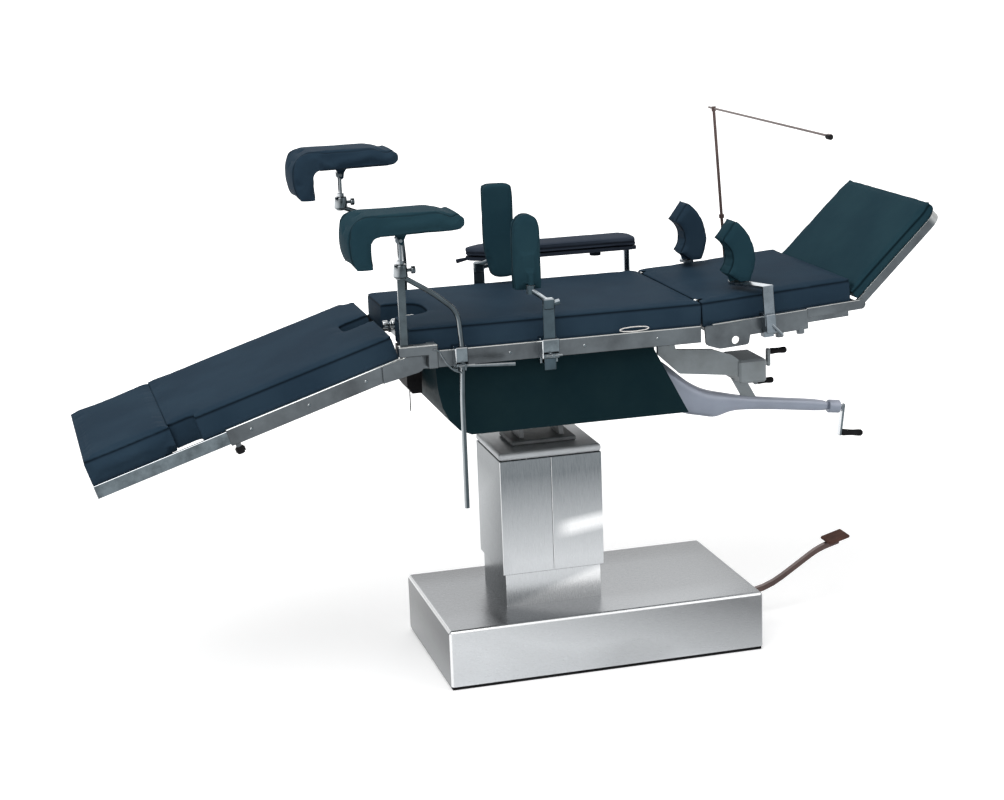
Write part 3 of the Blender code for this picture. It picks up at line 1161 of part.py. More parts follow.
def build_leg():
    """The leg section in its own frame: -X runs down the leg, and Z = 0 is the hinge height."""
    low = -FRAME_HEIGHT / 2
    high = FRAME_HEIGHT / 2
    rail_top = RAIL_TOP - LEG_HINGE_Z
    rail_low = rail_top - RAIL_HEIGHT
    end = -(LEG_PAD_END - 0.070)
    shapes = []
    bores = []
    for _, side in BOTH_SIDES:
        shapes.append(block((end, -0.032), span(side, BEAM_IN, BEAM_OUT), (low, high)))
        lug = span(side, LUG_IN + LUG + RUN, LUG_IN + 2 * LUG + RUN)
        eye = arc((0, 0), LEG_EYE, -90, 90, 8)
        shapes.append(prism([*eye, (-0.040, LEG_EYE), (-0.040, -LEG_EYE)], "XZ", lug))
        shapes.append(rod((0, side * (LUG_IN - 0.003), 0), (0, side * (LUG_IN + LUG + 0.004), 0), LEG_PIN))
        rail_y = span(side, CUSHION_HALF + 0.0005, RAIL_OUT)
        shapes.append(block((-0.455, -0.022), rail_y, (rail_low, rail_top), 0.0015, 1))
        for x in (-0.080, -0.260, -0.420):
            shapes.append(block(around(x, 0.012), span(side, BEAM_OUT - 0.003, CUSHION_HALF - 0.0005), (low + 0.0005, low + 0.022)))
            shapes.append(block(around(x, 0.012), span(side, BEAM_OUT - 0.003, RAIL_OUT - 0.003), (low + 0.0005, low + 0.0035)))
        ear_y = span(side, RAIL_OUT + GAP, RAIL_OUT + GAP + EAR)
        ear = [*arc((0, 0), EAR_RADIUS, -90, 90, 8), (-0.075, EAR_RADIUS), (-0.085, -EAR_RADIUS * 0.7)]
        shapes.append(prism(ear, "XZ", ear_y))
        shapes.append(block((-0.070, -0.040), span(side, RAIL_OUT - 0.004, RAIL_OUT + 0.003), (-0.010, 0.012)))
        bores.append(block((-0.47, -0.030), span(side, CUSHION_HALF - 0.003, RAIL_OUT - 0.0024), foot_bar_z(RUN)))
    for x in (end + 0.016, -0.260, -0.050):
        shapes.append(block(around(x, 0.016), around(0, BEAM_IN + 0.005), (low + 0.001, high - 0.001)))
    knob_at = Vector((-0.440, -(RAIL_OUT - 0.007), rail_low))
    boss = rod(knob_at + Vector((0, 0, 0.004)), knob_at - Vector((0, 0, 0.008)), 0.0065)
    bores.append(rod(knob_at + Vector((0, 0, 0.0030)), knob_at - Vector((0, 0, 0.02)), hole(0.004)))
    piece("leg_frame", "rail steel", LEG, shapes[0], add=(*shapes[1:], boss), remove=bores)
    build_knob("foot_lock_knob", knob_at - Vector((0, 0, 0.008 + GAP)), Vector((0, 0, -1)), 0.0095, LEG)

    start = -LEG_PAD_START
    last = -LEG_PAD_END
    bottom = high + GAP
    top = CUSHION_TOP - LEG_HINGE_Z
    pad = prism([(last, bottom), (start, bottom), (start, top), (last, top)], "XZ", around(0, CUSHION_HALF))
    cuts = []
    for _, side in BOTH_SIDES:
        corner = [(start + 0.01, side * (CUSHION_HALF + 0.01)), (start + 0.01, side * (CUSHION_HALF - 0.050)), (start - 0.045, side * (CUSHION_HALF + 0.01))]
        cuts.append(prism(corner if side == FAR else corner[::-1], "XY", (bottom - 0.01, top + 0.01)))
    notch = block((last - 0.01, last + 0.060), span(NEAR, CUSHION_HALF - 0.030, CUSHION_HALF + 0.01), (bottom - 0.01, top + 0.01))
    cuts.append(notch)
    pocket = [(start + 0.01, 0.036), (start + 0.01, -0.036), (start - 0.070, -0.036), (start - 0.070, 0.036)]
    cuts.append(prism([tuple(point) for point in round_corners(pocket, 0.012, 3, closed=True)], "XY", (bottom - 0.01, top + 0.01)))
    piece("leg_cushion", "navy leather", LEG, pad, remove=cuts)


def foot_bar_y(side):
    return span(side, CUSHION_HALF + 0.0008, RAIL_OUT - 0.0030)


def foot_bar_z(clearance=0.0):
    middle = RAIL_TOP - LEG_HINGE_Z - RAIL_HEIGHT / 2
    return (middle - 0.0155 - clearance, middle + 0.0155 + clearance)


def build_foot():
    """The foot extension: two bars that slide in the leg rails, an end bar, a plate and its cushion."""
    end = -FOOT_END
    plate_low = FRAME_HEIGHT / 2 - 0.006
    plate_high = FRAME_HEIGHT / 2
    shapes = []
    for _, side in BOTH_SIDES:
        shapes.append(block((end, -0.300), foot_bar_y(side), foot_bar_z(), 0.001, 1))
    shapes.append(block((end, end + 0.012), around(0, RAIL_OUT - 0.005), (foot_bar_z()[0], plate_high)))
    shapes.append(block((end + 0.006, -(FOOT_PAD_START + 0.006)), around(0, RAIL_OUT - 0.008), (plate_low, plate_high)))
    piece("foot_frame", "stainless", LEG, shapes[0], add=shapes[1:])
    bottom = plate_high + GAP
    top = CUSHION_TOP - LEG_HINGE_Z
    outline = [(end, bottom), (-FOOT_PAD_START, bottom), (-FOOT_PAD_START, top), (end + 0.010, top), (end, top - 0.012)]
    pad = prism(outline, "XZ", around(0, CUSHION_HALF))
    corner = block((-FOOT_PAD_START - 0.020, -FOOT_PAD_START + 0.01), span(NEAR, CUSHION_HALF - 0.016, CUSHION_HALF + 0.01), (bottom - 0.01, top + 0.01))
    piece("foot_cushion", "navy leather", LEG, pad, remove=(corner,))


def build_knob(name, base, direction, radius, holder):
    """A star knob with a stem that turns in the piece it clamps."""
    way = Vector(direction).normalized()
    base = Vector(base)
    stem = rod(base - way * 0.0105, base + way * 0.004, 0.004)
    head = rod(base, base + way * 0.016, radius, radius * 0.9, 12)
    lobes = []
    side = way.orthogonal().normalized()
    for step in range(5):
        out = Matrix.Rotation(math.radians(72 * step), 3, way) @ side
        middle = base + out * radius * 0.85
        lobes.append(rod(middle + way * 0.003, middle + way * 0.013, radius * 0.42, sides=8))
    piece(name, "black plastic", holder, stem, add=(head, *lobes))


def build_shoulder_support(name, side):
    """A bracket on the back's rail that reaches over the cushion, and a crescent pad that turns on it."""
    x = SHOULDER_X
    rail_top = back_z(RAIL_TOP)
    jaw, holder = rail_clamp(x, side, 0.024, rail_top)
    y = side * POST_Y
    high = back_z(SHOULDER_PLATE_TOP)
    bar = block(around(x, 0.013), around(y, 0.004), (rail_top - 0.020, high), 0.001, 1)
    corners = [
        (x + 0.013, side * (POST_Y + 0.004)),
        (x - 0.013, side * (POST_Y + 0.004)),
        (SHOULDER_PIVOT_X - 0.015, side * (SHOULDER_PAD_Y + 0.01)),
        (SHOULDER_PIVOT_X - 0.009, side * (SHOULDER_PAD_Y - 0.016)),
        (SHOULDER_PIVOT_X + 0.009, side * (SHOULDER_PAD_Y - 0.016)),
        (SHOULDER_PIVOT_X + 0.017, side * (SHOULDER_PAD_Y + 0.01)),
    ]
    plate = prism(corners if side == NEAR else corners[::-1], "XY", (high - 0.006, high))
    pivot = Vector((SHOULDER_PIVOT_X, side * SHOULDER_PAD_Y, high))
    pin = rod(pivot - Vector((0, 0, 0.003)), pivot + Vector((0, 0, 0.030)), SHOULDER_PIN)
    lever_start = (x, side * (HOLDER_OUT - 0.004), rail_top - 0.014)
    lever_end = (x + 0.020, side * (HOLDER_OUT + 0.014), rail_top - 0.040)
    lever = rod(lever_start, lever_end, 0.0035, sides=8)
    shapes = (holder, bar, plate, pin, lever)
    piece(f"{name}_shoulder_bracket", "stainless", BACK, jaw, add=shapes)

    half = SHOULDER_PAD_THICKNESS / 2
    first, last = SHOULDER_PAD_TURNS
    centre = (SHOULDER_PIVOT_X - SHOULDER_PAD_RADIUS + 0.020, high + SHOULDER_PAD_MIDDLE)
    outer = arc(centre, SHOULDER_PAD_RADIUS + half, first, last, 10)
    inner = arc(centre, SHOULDER_PAD_RADIUS - half, last, first, 10)
    pad = prism([*outer, *inner], "XZ", around(pivot.y, SHOULDER_PAD_WIDTH / 2))
    foot = rod(pivot + Vector((0, 0, GAP)), pivot + Vector((0, 0, 0.040)), 0.011)
    under = block(around(pivot.x, 0.05), around(pivot.y, 0.05), (high - 0.05, high + GAP))
    bore = rod(pivot - Vector((0, 0, 0.01)), pivot + Vector((0, 0, 0.0305)), hole(SHOULDER_PIN))
    finish = "teal leather" if side == NEAR else "navy leather"
    piece(f"{name}_shoulder_pad", finish, BACK, pad, add=(foot,), remove=(under, bore))


def build_screen():
    """The anaesthesia screen: a thin pole in a clamp on the far head arm, and a turning cross bar."""
    rail_top = ARM_HIGH
    height = ARM_HIGH - ARM_LOW
    jaw, holder = rail_clamp(SCREEN_CLAMP_X, FAR, 0.022, rail_top, height)
    bore = rod((SCREEN_X, POST_Y, rail_top - 0.08), (SCREEN_X, POST_Y, rail_top + 0.06), hole(SCREEN_POLE))
    tall_x = (SCREEN_X - 0.010, SCREEN_CLAMP_X)
    tall = block(tall_x, (CLAMP_OUT - 0.001, HOLDER_OUT), (ARM_LOW, rail_top + 0.026), 0.002, 1)
    screw = clamp_screw(SCREEN_CLAMP_X, HOLDER_OUT, rail_top - 0.006, FAR, 0.018)
    piece("screen_clamp", "chrome", BACK, jaw, add=(holder, tall, *screw), remove=(bore,))

    foot = rail_top - 0.070
    pole_top = SCREEN_HEIGHT
    pole = rod((SCREEN_X, POST_Y, foot), (SCREEN_X, POST_Y, pole_top - 0.004), SCREEN_POLE)
    peg = rod((SCREEN_X, POST_Y, pole_top - 0.02), (SCREEN_X, POST_Y, pole_top + 0.008), SCREEN_PEG)
    stop = rod((SCREEN_X, POST_Y, back_z(0.990)), (SCREEN_X, POST_Y, back_z(1.000)), 0.007)
    piece("screen_pole", "chrome", BACK, pole, add=(peg, stop))

    z = pole_top + 0.003
    bar = rod((SCREEN_X, SCREEN_BAR_FAR, z), (SCREEN_X, -SCREEN_BAR_NEAR, z), SCREEN_BAR, sides=10)
    hub = rod((SCREEN_X, POST_Y, pole_top - 0.004 + GAP), (SCREEN_X, POST_Y, z + 0.005), 0.006)
    cap = rod((SCREEN_X, -SCREEN_BAR_NEAR + 0.006, z), (SCREEN_X, -SCREEN_BAR_NEAR - 0.010, z), 0.0055, sides=10)
    bore = rod((SCREEN_X, POST_Y, pole_top - 0.02), (SCREEN_X, POST_Y, pole_top + 0.03), hole(SCREEN_PEG))
    piece("screen_bar", "chrome", BACK, bar, add=(hub, cap), remove=(bore,))


def build_table():
    build_base()
    build_hydraulics()
    build_pedal()
    build_carriage()
    build_cross()
    build_seat_frame()
    build_release_knob()
    build_seat_cushion()
    build_shroud()
    build_drive()
    build_gear_bracket()
    build_cranks()
    build_hinge_cover()
    build_seat_clamps()
    near_pole = (NEAR_POLE_X, NEAR_POLE_BOTTOM, NEAR_POLE_BEND_Z)
    far_pole = (FAR_POLE_X, FAR_POLE_BOTTOM, FAR_POLE_BEND_Z)
    build_knee_support("near", NEAR, *near_pole, NEAR_KNUCKLE_X, NEAR_KNUCKLE_Z)
    build_knee_support("far", FAR, *far_pole, FAR_KNUCKLE_X, FAR_KNUCKLE_Z)
    near_pad = (NEAR_PAD_X, NEAR_PAD_WIDTH, NEAR_PAD_LOW, NEAR_PAD_HIGH)
    far_pad = (FAR_PAD_X, FAR_PAD_WIDTH, FAR_PAD_LOW, FAR_PAD_HIGH)
    build_side_support("near", NEAR, SIDE_NEAR_X, *near_pad, rounded=True)
    build_side_support("far", FAR, SIDE_FAR_X, *far_pad, rounded=False)
    build_arm_board()
    build_back_frame()
    build_back_cushion()
    build_head_arms()
    build_shoulder_support("near", NEAR)
    build_shoulder_support("far", FAR)
    build_screen()
    build_head()
    build_leg()
    build_foot()


build_table()
for made in PARTS.objects:
    if made.type == "MESH":
        made.data.shade_smooth()
        made.data.set_sharp_from_angle(angle=math.radians(35))
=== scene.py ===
# %% [markdown]
# # An operating table
# This lesson dresses a plain CAD model of a hydraulic operating table. The CAD model gives every size and
# joint. Here each visible piece gets soft edges, padding, seams and a worked-out surface, so that it looks
# like the real thing under studio light. Lengths are in metres, +Z is up and +X is the head end.

# %% Load the frame
import json
import math

import bpy
import numpy as np
from mathutils import Matrix, Vector


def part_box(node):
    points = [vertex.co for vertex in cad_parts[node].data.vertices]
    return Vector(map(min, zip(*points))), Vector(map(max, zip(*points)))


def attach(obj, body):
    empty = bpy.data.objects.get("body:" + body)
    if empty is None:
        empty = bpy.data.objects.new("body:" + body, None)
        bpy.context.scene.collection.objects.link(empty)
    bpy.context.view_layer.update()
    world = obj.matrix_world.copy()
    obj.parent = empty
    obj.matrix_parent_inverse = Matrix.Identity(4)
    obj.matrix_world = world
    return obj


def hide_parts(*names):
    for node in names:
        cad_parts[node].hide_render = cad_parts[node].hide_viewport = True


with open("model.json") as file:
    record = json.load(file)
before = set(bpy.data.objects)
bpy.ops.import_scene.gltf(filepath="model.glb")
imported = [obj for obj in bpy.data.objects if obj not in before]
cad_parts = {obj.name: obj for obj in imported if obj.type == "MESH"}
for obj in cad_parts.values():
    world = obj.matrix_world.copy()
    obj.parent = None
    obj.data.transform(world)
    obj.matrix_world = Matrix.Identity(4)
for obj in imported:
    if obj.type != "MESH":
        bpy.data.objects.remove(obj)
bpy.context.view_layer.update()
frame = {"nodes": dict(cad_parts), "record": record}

scene = bpy.context.scene
nodes = frame["nodes"]
record = frame["record"]

# %% [markdown]
# ## The camera
# The photograph was taken from the near side, a little towards the foot end, with a long lens. The camera's
# three axes are worked out from its heading, its tilt and a slight roll, and written as the columns of one
# matrix. That is more exact than turning the camera by hand.

# %% Camera
bpy.ops.object.select_all(action="DESELECT")
CAMERA_PLACE = Vector((-1.404, -4.662, 1.831))
HEADING = math.radians(14.608)
TILT_DOWN = math.radians(13.821)
ROLL = math.radians(-2.162)
FOCAL_PIXELS = 2025.58
PICTURE_WIDTH = 1004

forward = Vector((
    math.sin(HEADING) * math.cos(TILT_DOWN), math.cos(HEADING) * math.cos(TILT_DOWN), -math.sin(TILT_DOWN),
))
level = Vector((math.cos(HEADING), -math.sin(HEADING), 0))
upward = level.cross(forward)
across = level * math.cos(ROLL) + upward * math.sin(ROLL)
upright = upward * math.cos(ROLL) - level * math.sin(ROLL)
bpy.ops.object.camera_add()
camera = bpy.context.object
camera.matrix_world = Matrix((
    (across.x, upright.x, -forward.x, CAMERA_PLACE.x),
    (across.y, upright.y, -forward.y, CAMERA_PLACE.y),
    (across.z, upright.z, -forward.z, CAMERA_PLACE.z),
    (0, 0, 0, 1),
))
camera.data.sensor_width = 36
camera.data.lens = FOCAL_PIXELS * 36 / PICTURE_WIDTH
camera.data.clip_end = 200
scene.camera = camera
scene.view_settings.view_transform = "Standard"
print("lens", round(camera.data.lens, 1), "mm")

# %% [markdown]
# ## A small kit for materials
# Every surface here is made of the same few building blocks: a pattern in the object's own coordinates, a
# range that it is spread over, a blend of two colours and a bump. Object coordinates keep the size of a
# pattern in metres, so leather grain is as fine on a small pad as on a large one.

# %% Material helpers
def new_material(name, colour, roughness, metallic=0.0, **more):
    """A Principled material. Values that are the same all over are set on the shader's own sockets."""
    material = bpy.data.materials.new(name)
    material.use_nodes = True
    surface = material.node_tree.nodes["Principled BSDF"]
    surface.inputs["Base Color"].default_value = (*colour, 1)
    surface.inputs["Roughness"].default_value = roughness
    surface.inputs["Metallic"].default_value = metallic
    for socket, value in more.items():
        surface.inputs[socket.replace("_", " ")].default_value = value
    return material, material.node_tree, surface


def put(tree, kind, inputs=None, **settings):
    made = tree.nodes.new("ShaderNode" + kind)
    for key, value in settings.items():
        setattr(made, key, value)
    for key, value in (inputs or {}).items():
        made.inputs[key].default_value = value
    return made


def pattern(tree, kind, scale, stretch=(1, 1, 1), turn=(0, 0, 0), output="Fac", **inputs):
    """A texture on Object coordinates, stretched by a Mapping node."""
    place = put(tree, "TexCoord")
    mapping = put(tree, "Mapping", {"Scale": stretch, "Rotation": turn})
    texture = put(tree, kind, {"Scale": scale, **inputs})
    tree.links.new(place.outputs["Object"], mapping.inputs["Vector"])
    tree.links.new(mapping.outputs["Vector"], texture.inputs["Vector"])
    return texture.outputs[output]


def spread(tree, value, low, high, start=0.0, stop=1.0):
    """The value moved from one range to another."""
    made = put(tree, "MapRange", {"From Min": start, "From Max": stop, "To Min": low, "To Max": high})
    tree.links.new(value, made.inputs["Value"])
    return made.outputs["Result"]


def combine(tree, first, second, operation="MULTIPLY"):
    made = put(tree, "Math", operation=operation)
    for socket, value in zip(made.inputs, (first, second)):
        if isinstance(value, (int, float)):
            socket.default_value = value
        else:
            tree.links.new(value, socket)
    return made.outputs[0]


def blended(tree, share, first, second):
    """A colour between two, by a share from 0 to 1."""
    made = put(tree, "Mix", data_type="RGBA")
    tree.links.new(share, made.inputs[0])
    for socket, value in ((made.inputs[6], first), (made.inputs[7], second)):
        if isinstance(value, tuple):
            socket.default_value = (*value, 1)
        else:
            tree.links.new(value, socket)
    return made.outputs[2]


def raise_surface(tree, surface, height, strength, distance):
    made = put(tree, "Bump", {"Strength": strength, "Distance": distance})
    tree.links.new(height, made.inputs["Height"])
    tree.links.new(made.outputs["Normal"], surface.inputs["Normal"])


print("material kit ready")

# %% [markdown]
# ## Upholstery
# The pads are covered in a smooth coated fabric in dark blue, a few in dark green-blue, and the arm board's
# in a faded blue. The cover has a very fine pebble grain, faint broad unevenness from the foam below, and a
# soft sheen at grazing angles. Along the sewn lines, which are pressed in, the colour is darkened: painted
# shade in the grooves. A mesh attribute named seam carries it, because it follows the surface.

# %% Upholstery material
def upholstery(name, colour, worn, gloss):
    material, tree, surface = new_material(name, colour, gloss)
    surface.inputs["Specular IOR Level"].default_value = 0.004
    cloudy = pattern(tree, "TexNoise", 7, Detail=3.0)
    grain = pattern(tree, "TexVoronoi", 620, output="Distance")
    folds = pattern(tree, "TexNoise", 26, Detail=2.0)
    seam = put(tree, "Attribute", attribute_name="seam").outputs["Fac"]
    cover = blended(tree, spread(tree, cloudy, 0, 1, 0.35, 0.65), colour, worn)
    # Painted shade along the pressed-in seams: the cover colour darkened to under a third.
    shade = tuple(channel * 0.30 for channel in colour)
    tree.links.new(blended(tree, seam, cover, shade), surface.inputs["Base Color"])
    tree.links.new(spread(tree, cloudy, gloss - 0.05, gloss + 0.08), surface.inputs["Roughness"])
    height = combine(tree, combine(tree, grain, 0.35), combine(tree, folds, 0.9), "ADD")
    raise_surface(tree, surface, height, 0.18, 0.0016)
    return material


navy_leather = upholstery("navy_upholstery", (0.0205, 0.0395, 0.062), (0.0265, 0.049, 0.074), 0.50)
teal_leather = upholstery("teal_upholstery", (0.0155, 0.043, 0.059), (0.020, 0.052, 0.068), 0.50)
faded_leather = upholstery("faded_upholstery", (0.036, 0.047, 0.068), (0.044, 0.056, 0.078), 0.50)
print("upholstery in three colours")

# %% [markdown]
# ## Metals
# Sheet steel on the base and the column is brushed: thousands of fine parallel scratches that stretch each
# reflection. The scratches are noise stretched along one axis. Over them the colour carries broad soft bands
# of painted reflection, painted shade on tops and sides, and painted highlights on folded edges and in
# streaks.

# %% Brushed sheet steel
def facing(tree, direction, low, high, start=0.2, stop=0.9):
    """How far the surface faces a direction of the object's own axes."""
    place = put(tree, "TexCoord")
    product = put(tree, "VectorMath", operation="DOT_PRODUCT")
    tree.links.new(place.outputs["Normal"], product.inputs[0])
    product.inputs[1].default_value = direction
    return spread(tree, product.outputs["Value"], low, high, start, stop)


def slanted(tree, direction, low, high, start, stop):
    """A soft ramp across the object, along a direction in metres."""
    place = put(tree, "TexCoord")
    product = put(tree, "VectorMath", operation="DOT_PRODUCT")
    tree.links.new(place.outputs["Object"], product.inputs[0])
    product.inputs[1].default_value = direction
    return spread(tree, product.outputs["Value"], low, high, start, stop)


def painted_edge_glint(*direction):
    """A painted highlight on a fold that faces between two flat sides."""
    def glint(tree):
        return facing(tree, Vector(direction).normalized(), 0, 1, 0.86, 0.98)
    return glint


def brushed_sheet(name, light, dark, stretch, painted_shades, painted_glints):
    """Painted shades darken the sheet's colour and painted glints, which are painted highlights, brighten it.
    Each is a list of functions of the node tree.
    """
    material, tree, surface = new_material(name, light, 0.30, 1.0, Anisotropic=0.35)
    scratches = pattern(tree, "TexNoise", 2200, stretch, Detail=2.0)
    # Broad soft clouds of darker tone on the sheet: painted reflection bands.
    painted_reflection_bands = pattern(tree, "TexNoise", 3.1, (1.0, 1.0, 1.6), Detail=0.5, Roughness=0.3)
    shade = spread(tree, painted_reflection_bands, 0, 0.35, 0.4, 0.65)
    for part in painted_shades:
        shade = combine(tree, shade, part(tree), "MAXIMUM")
    tone = blended(tree, shade, light, dark)
    # Painted highlights: each glint blends the tone towards near white.
    for part in painted_glints:
        tone = blended(tree, part(tree), tone, (0.90, 0.91, 0.92))
    fine = tuple(min(1.0, channel * 1.2) for channel in light)
    streaks = spread(tree, scratches, 0, 0.14, 0.3, 0.8)
    tree.links.new(blended(tree, streaks, tone, fine), surface.inputs["Base Color"])
    tree.links.new(spread(tree, scratches, 0.22, 0.32), surface.inputs["Roughness"])
    raise_surface(tree, surface, scratches, 0.03, 0.0002)
    return material


def painted_shade_base_top(tree):
    """Painted shade on the top: dark by the column and a little lighter towards the head end."""
    return combine(tree, facing(tree, (0, 0, 1), 0, 1), slanted(tree, (1, 0.25, 0), 0.9, 0.70, -0.20, 0.36))


# Painted shade on the foot end, deepest towards its top.
def painted_shade_base_foot_end(tree):
    return combine(tree, facing(tree, (-1, 0, 0), 0, 1), slanted(tree, (0, 0, 1), 0.75, 1.0, 0.03, 0.11))


# Painted shade across the front, darker towards its upper head end.
def painted_shade_base_front(tree):
    return combine(tree, facing(tree, (0, -1, 0), 0, 1), slanted(tree, (0.9, 0, 3.0), 0, 0.92, 0.05, 0.70))


# Painted shade on the column, darker towards its top.
def painted_shade_column_top(tree):
    return slanted(tree, (0, 0, 1), 0.15, 0.95, 0.26, 0.48)


# Painted shade on the column's foot side, darkest by its front corner.
def painted_shade_column_side(tree):
    return combine(tree, facing(tree, (-1, 0, 0), 0, 1), slanted(tree, (0, 1, 0), 1.0, 0.55, -0.10, 0.12))


def painted_window_glint(tree):
    """A painted reflection of a window: a bright slanted streak on the head half of the front."""
    above = slanted(tree, (-0.12, 0, 1), 0, 1, 0.318, 0.338)
    below = slanted(tree, (-0.12, 0, 1), 1, 0, 0.352, 0.372)
    right = slanted(tree, (1, 0, 0), 0, 0.85, -0.100, -0.055)
    return combine(tree, combine(tree, combine(tree, above, below), right), facing(tree, (0, -1, 0), 0, 1))


# A painted highlight low on the head end of the plinth's front.
def painted_plinth_glint(tree):
    low_right = slanted(tree, (0.33, 0, -1), 0, 0.9, -0.232, -0.212)
    on_plinth = slanted(tree, (0, 0, 1), 1, 0, 0.228, 0.234)
    return combine(tree, combine(tree, low_right, facing(tree, (0, -1, 0), 0, 1)), on_plinth)


ALONG_X = (0.02, 1, 1)
ALONG_Z = (1, 1, 0.02)
# Both sheets take painted shade on tops and sides and painted highlights on edges and in streaks.
base_steel = brushed_sheet(
    "brushed_base_sheet", (0.58, 0.60, 0.62), (0.125, 0.13, 0.135), ALONG_X,
    (painted_shade_base_top, painted_shade_base_foot_end, painted_shade_base_front),
    (painted_edge_glint(0, -1, 1), painted_edge_glint(-1, 0, 1), painted_edge_glint(-1, -1, 0)),
)
column_steel = brushed_sheet(
    "brushed_column_sheet", (0.62, 0.64, 0.66), (0.085, 0.10, 0.11), ALONG_Z, (painted_shade_column_top, painted_shade_column_side),
    (painted_window_glint, painted_plinth_glint, painted_edge_glint(-1, -1, 0)),
)
print("brushed sheet for the base and the column")

# %% [markdown]
# Bars and rails are drawn steel with a satin finish and slightly darker marks from handling. Small fittings
# are chrome plated: nearly a mirror, with a trace of fine dust that breaks up the roughness. On most metals
# the faces towards one direction are painted lighter: painted light, and on chrome painted glints.

# %% Bar steel, chrome and castings
def worn_metal(
    name, colour, darker, roughness, metallic, scale, bump=0.06, spots=120,
    lit=None, lit_from=(0, 0, 1), lit_start=0.1, lit_stop=0.9,
):
    """Metal or paint with marks from handling. Faces towards lit_from take the colour lit, which is painted
    light.
    """
    material, tree, surface = new_material(name, colour, roughness, metallic)
    marks = pattern(tree, "TexNoise", scale, Detail=4.0, Roughness=0.6)
    fine = pattern(tree, "TexNoise", spots, Detail=3.0)
    tone = blended(tree, spread(tree, marks, 0, 1, 0.35, 0.7), colour, darker)
    if lit:
        # Painted light: faces towards lit_from are blended to the lighter colour lit.
        tone = blended(tree, facing(tree, lit_from, 0, 1, lit_start, lit_stop), tone, lit)
    tree.links.new(tone, surface.inputs["Base Color"])
    tree.links.new(spread(tree, fine, roughness * 0.75, roughness * 1.35), surface.inputs["Roughness"])
    raise_surface(tree, surface, fine, bump, 0.0004)
    return material


# The lit colours are painted light: on upward faces by default, and on the chrome and poles painted glints
# towards CHROME_LIT.
rail_steel = worn_metal(
    "satin_rail_steel", (0.105, 0.120, 0.130), (0.055, 0.062, 0.068), 0.30, 1.0, 9, lit=(0.80, 0.81, 0.79),
)
CHROME_LIT = (-0.75, -0.30, 0.60)
polished_steel = worn_metal(
    "polished_chrome", (0.115, 0.140, 0.155), (0.055, 0.068, 0.076), 0.13, 1.0, 30, 0.02,
    lit=(0.70, 0.72, 0.74), lit_from=CHROME_LIT, lit_start=0.35, lit_stop=0.95,
)
satin_steel = worn_metal(
    "satin_bracket_steel", (0.16, 0.19, 0.215), (0.10, 0.12, 0.135), 0.28, 1.0, 22,
    lit=(0.42, 0.46, 0.49), lit_start=0.3,
)
pole_steel = worn_metal(
    "plated_pole", (0.060, 0.078, 0.088), (0.040, 0.050, 0.056), 0.16, 1.0, 30, 0.02,
    lit=(0.50, 0.53, 0.55), lit_from=CHROME_LIT, lit_start=0.50, lit_stop=0.97,
)
post_steel = worn_metal(
    "grey_post_steel", (0.052, 0.078, 0.095), (0.034, 0.050, 0.060), 0.32, 0.9, 18, lit=(0.42, 0.46, 0.49),
)
screen_steel = worn_metal("dark_screen_rod", (0.105, 0.072, 0.066), (0.070, 0.048, 0.045), 0.34, 0.7, 16)
grey_casting = worn_metal(
    "grey_cast_paint", (0.215, 0.245, 0.260), (0.160, 0.180, 0.190), 0.45, 0.3, 14, 0.14, 340,
    lit=(0.33, 0.36, 0.385),
)
pale_housing = worn_metal(
    "pale_gloss_paint", (0.265, 0.300, 0.370), (0.21, 0.24, 0.30), 0.34, 0.2, 8, 0.05, 200,
    lit=(0.46, 0.49, 0.58),
)
white_wire = worn_metal("bright_wire", (0.80, 0.78, 0.76), (0.66, 0.64, 0.62), 0.30, 0.2, 40, 0.02)
cap_steel = worn_metal("satin_cap_steel", (0.50, 0.53, 0.55), (0.42, 0.44, 0.46), 0.35, 0.25, 12, 0.04)
cast_iron = worn_metal("primed_cast_iron", (0.20, 0.215, 0.225), (0.12, 0.13, 0.135), 0.50, 0.4, 20, 0.2, 260)
print("nine metals and two paints")

# %% [markdown]
# The skirt under the seat is steel sheet with a dark green gloss paint, which shows faint cloudiness and
# small scuffs. Plastic parts have a fine moulded texture, and the pedal's tread is dull rubber.

# %% Paint, plastic and rubber
slate_paint = worn_metal(
    "slate_board_paint", (0.030, 0.038, 0.054), (0.022, 0.028, 0.040), 0.45, 0.0, 20, 0.05,
)
dark_paint = worn_metal(
    "dark_green_paint", (0.0075, 0.021, 0.027), (0.010, 0.025, 0.030), 0.34, 0.0, 11, 0.05, 90,
)
black_plastic = worn_metal(
    "moulded_black_plastic", (0.012, 0.012, 0.013), (0.022, 0.022, 0.024), 0.44, 0.0, 35, 0.12, 480,
)
black_rubber = worn_metal(
    "ribbed_rubber", (0.115, 0.062, 0.050), (0.075, 0.042, 0.035), 0.68, 0.0, 40, 0.2, 500,
)
for dull, mirror in ((dark_paint, 0.003), (slate_paint, 0.003), (black_plastic, 0.02), (black_rubber, 0.02)):
    dull.node_tree.nodes["Principled BSDF"].inputs["Specular IOR Level"].default_value = mirror
print("paint, plastic and rubber")

# %% [markdown]
# ## A small kit for shaping
# A CAD mesh is exact but has knife edges, and real edges are always a little round: that is where highlights
# sit. So most pieces are a copy of their CAD node with its loose triangles merged and flat areas joined, then
# a bevel of about a millimetre on each sharp edge. Weighted normals keep the large faces flat in shading.

# %% Shaping helpers
body_of = {node: body for body, members in record["behaviour"]["bodies"].items() for node in members}
slot_of = {entry["node"]: entry["material_slot"] for entry in record["subparts"]}
FINISHES = {
    "stainless": base_steel, "polished_steel": polished_steel, "rail_steel": rail_steel,
    "grey_casting": grey_casting, "pale_housing": pale_housing, "dark_paint": dark_paint,
    "black_plastic": black_plastic, "black_rubber": black_rubber, "navy_leather": navy_leather,
    "teal_leather": teal_leather, "cast_iron": cast_iron,
}


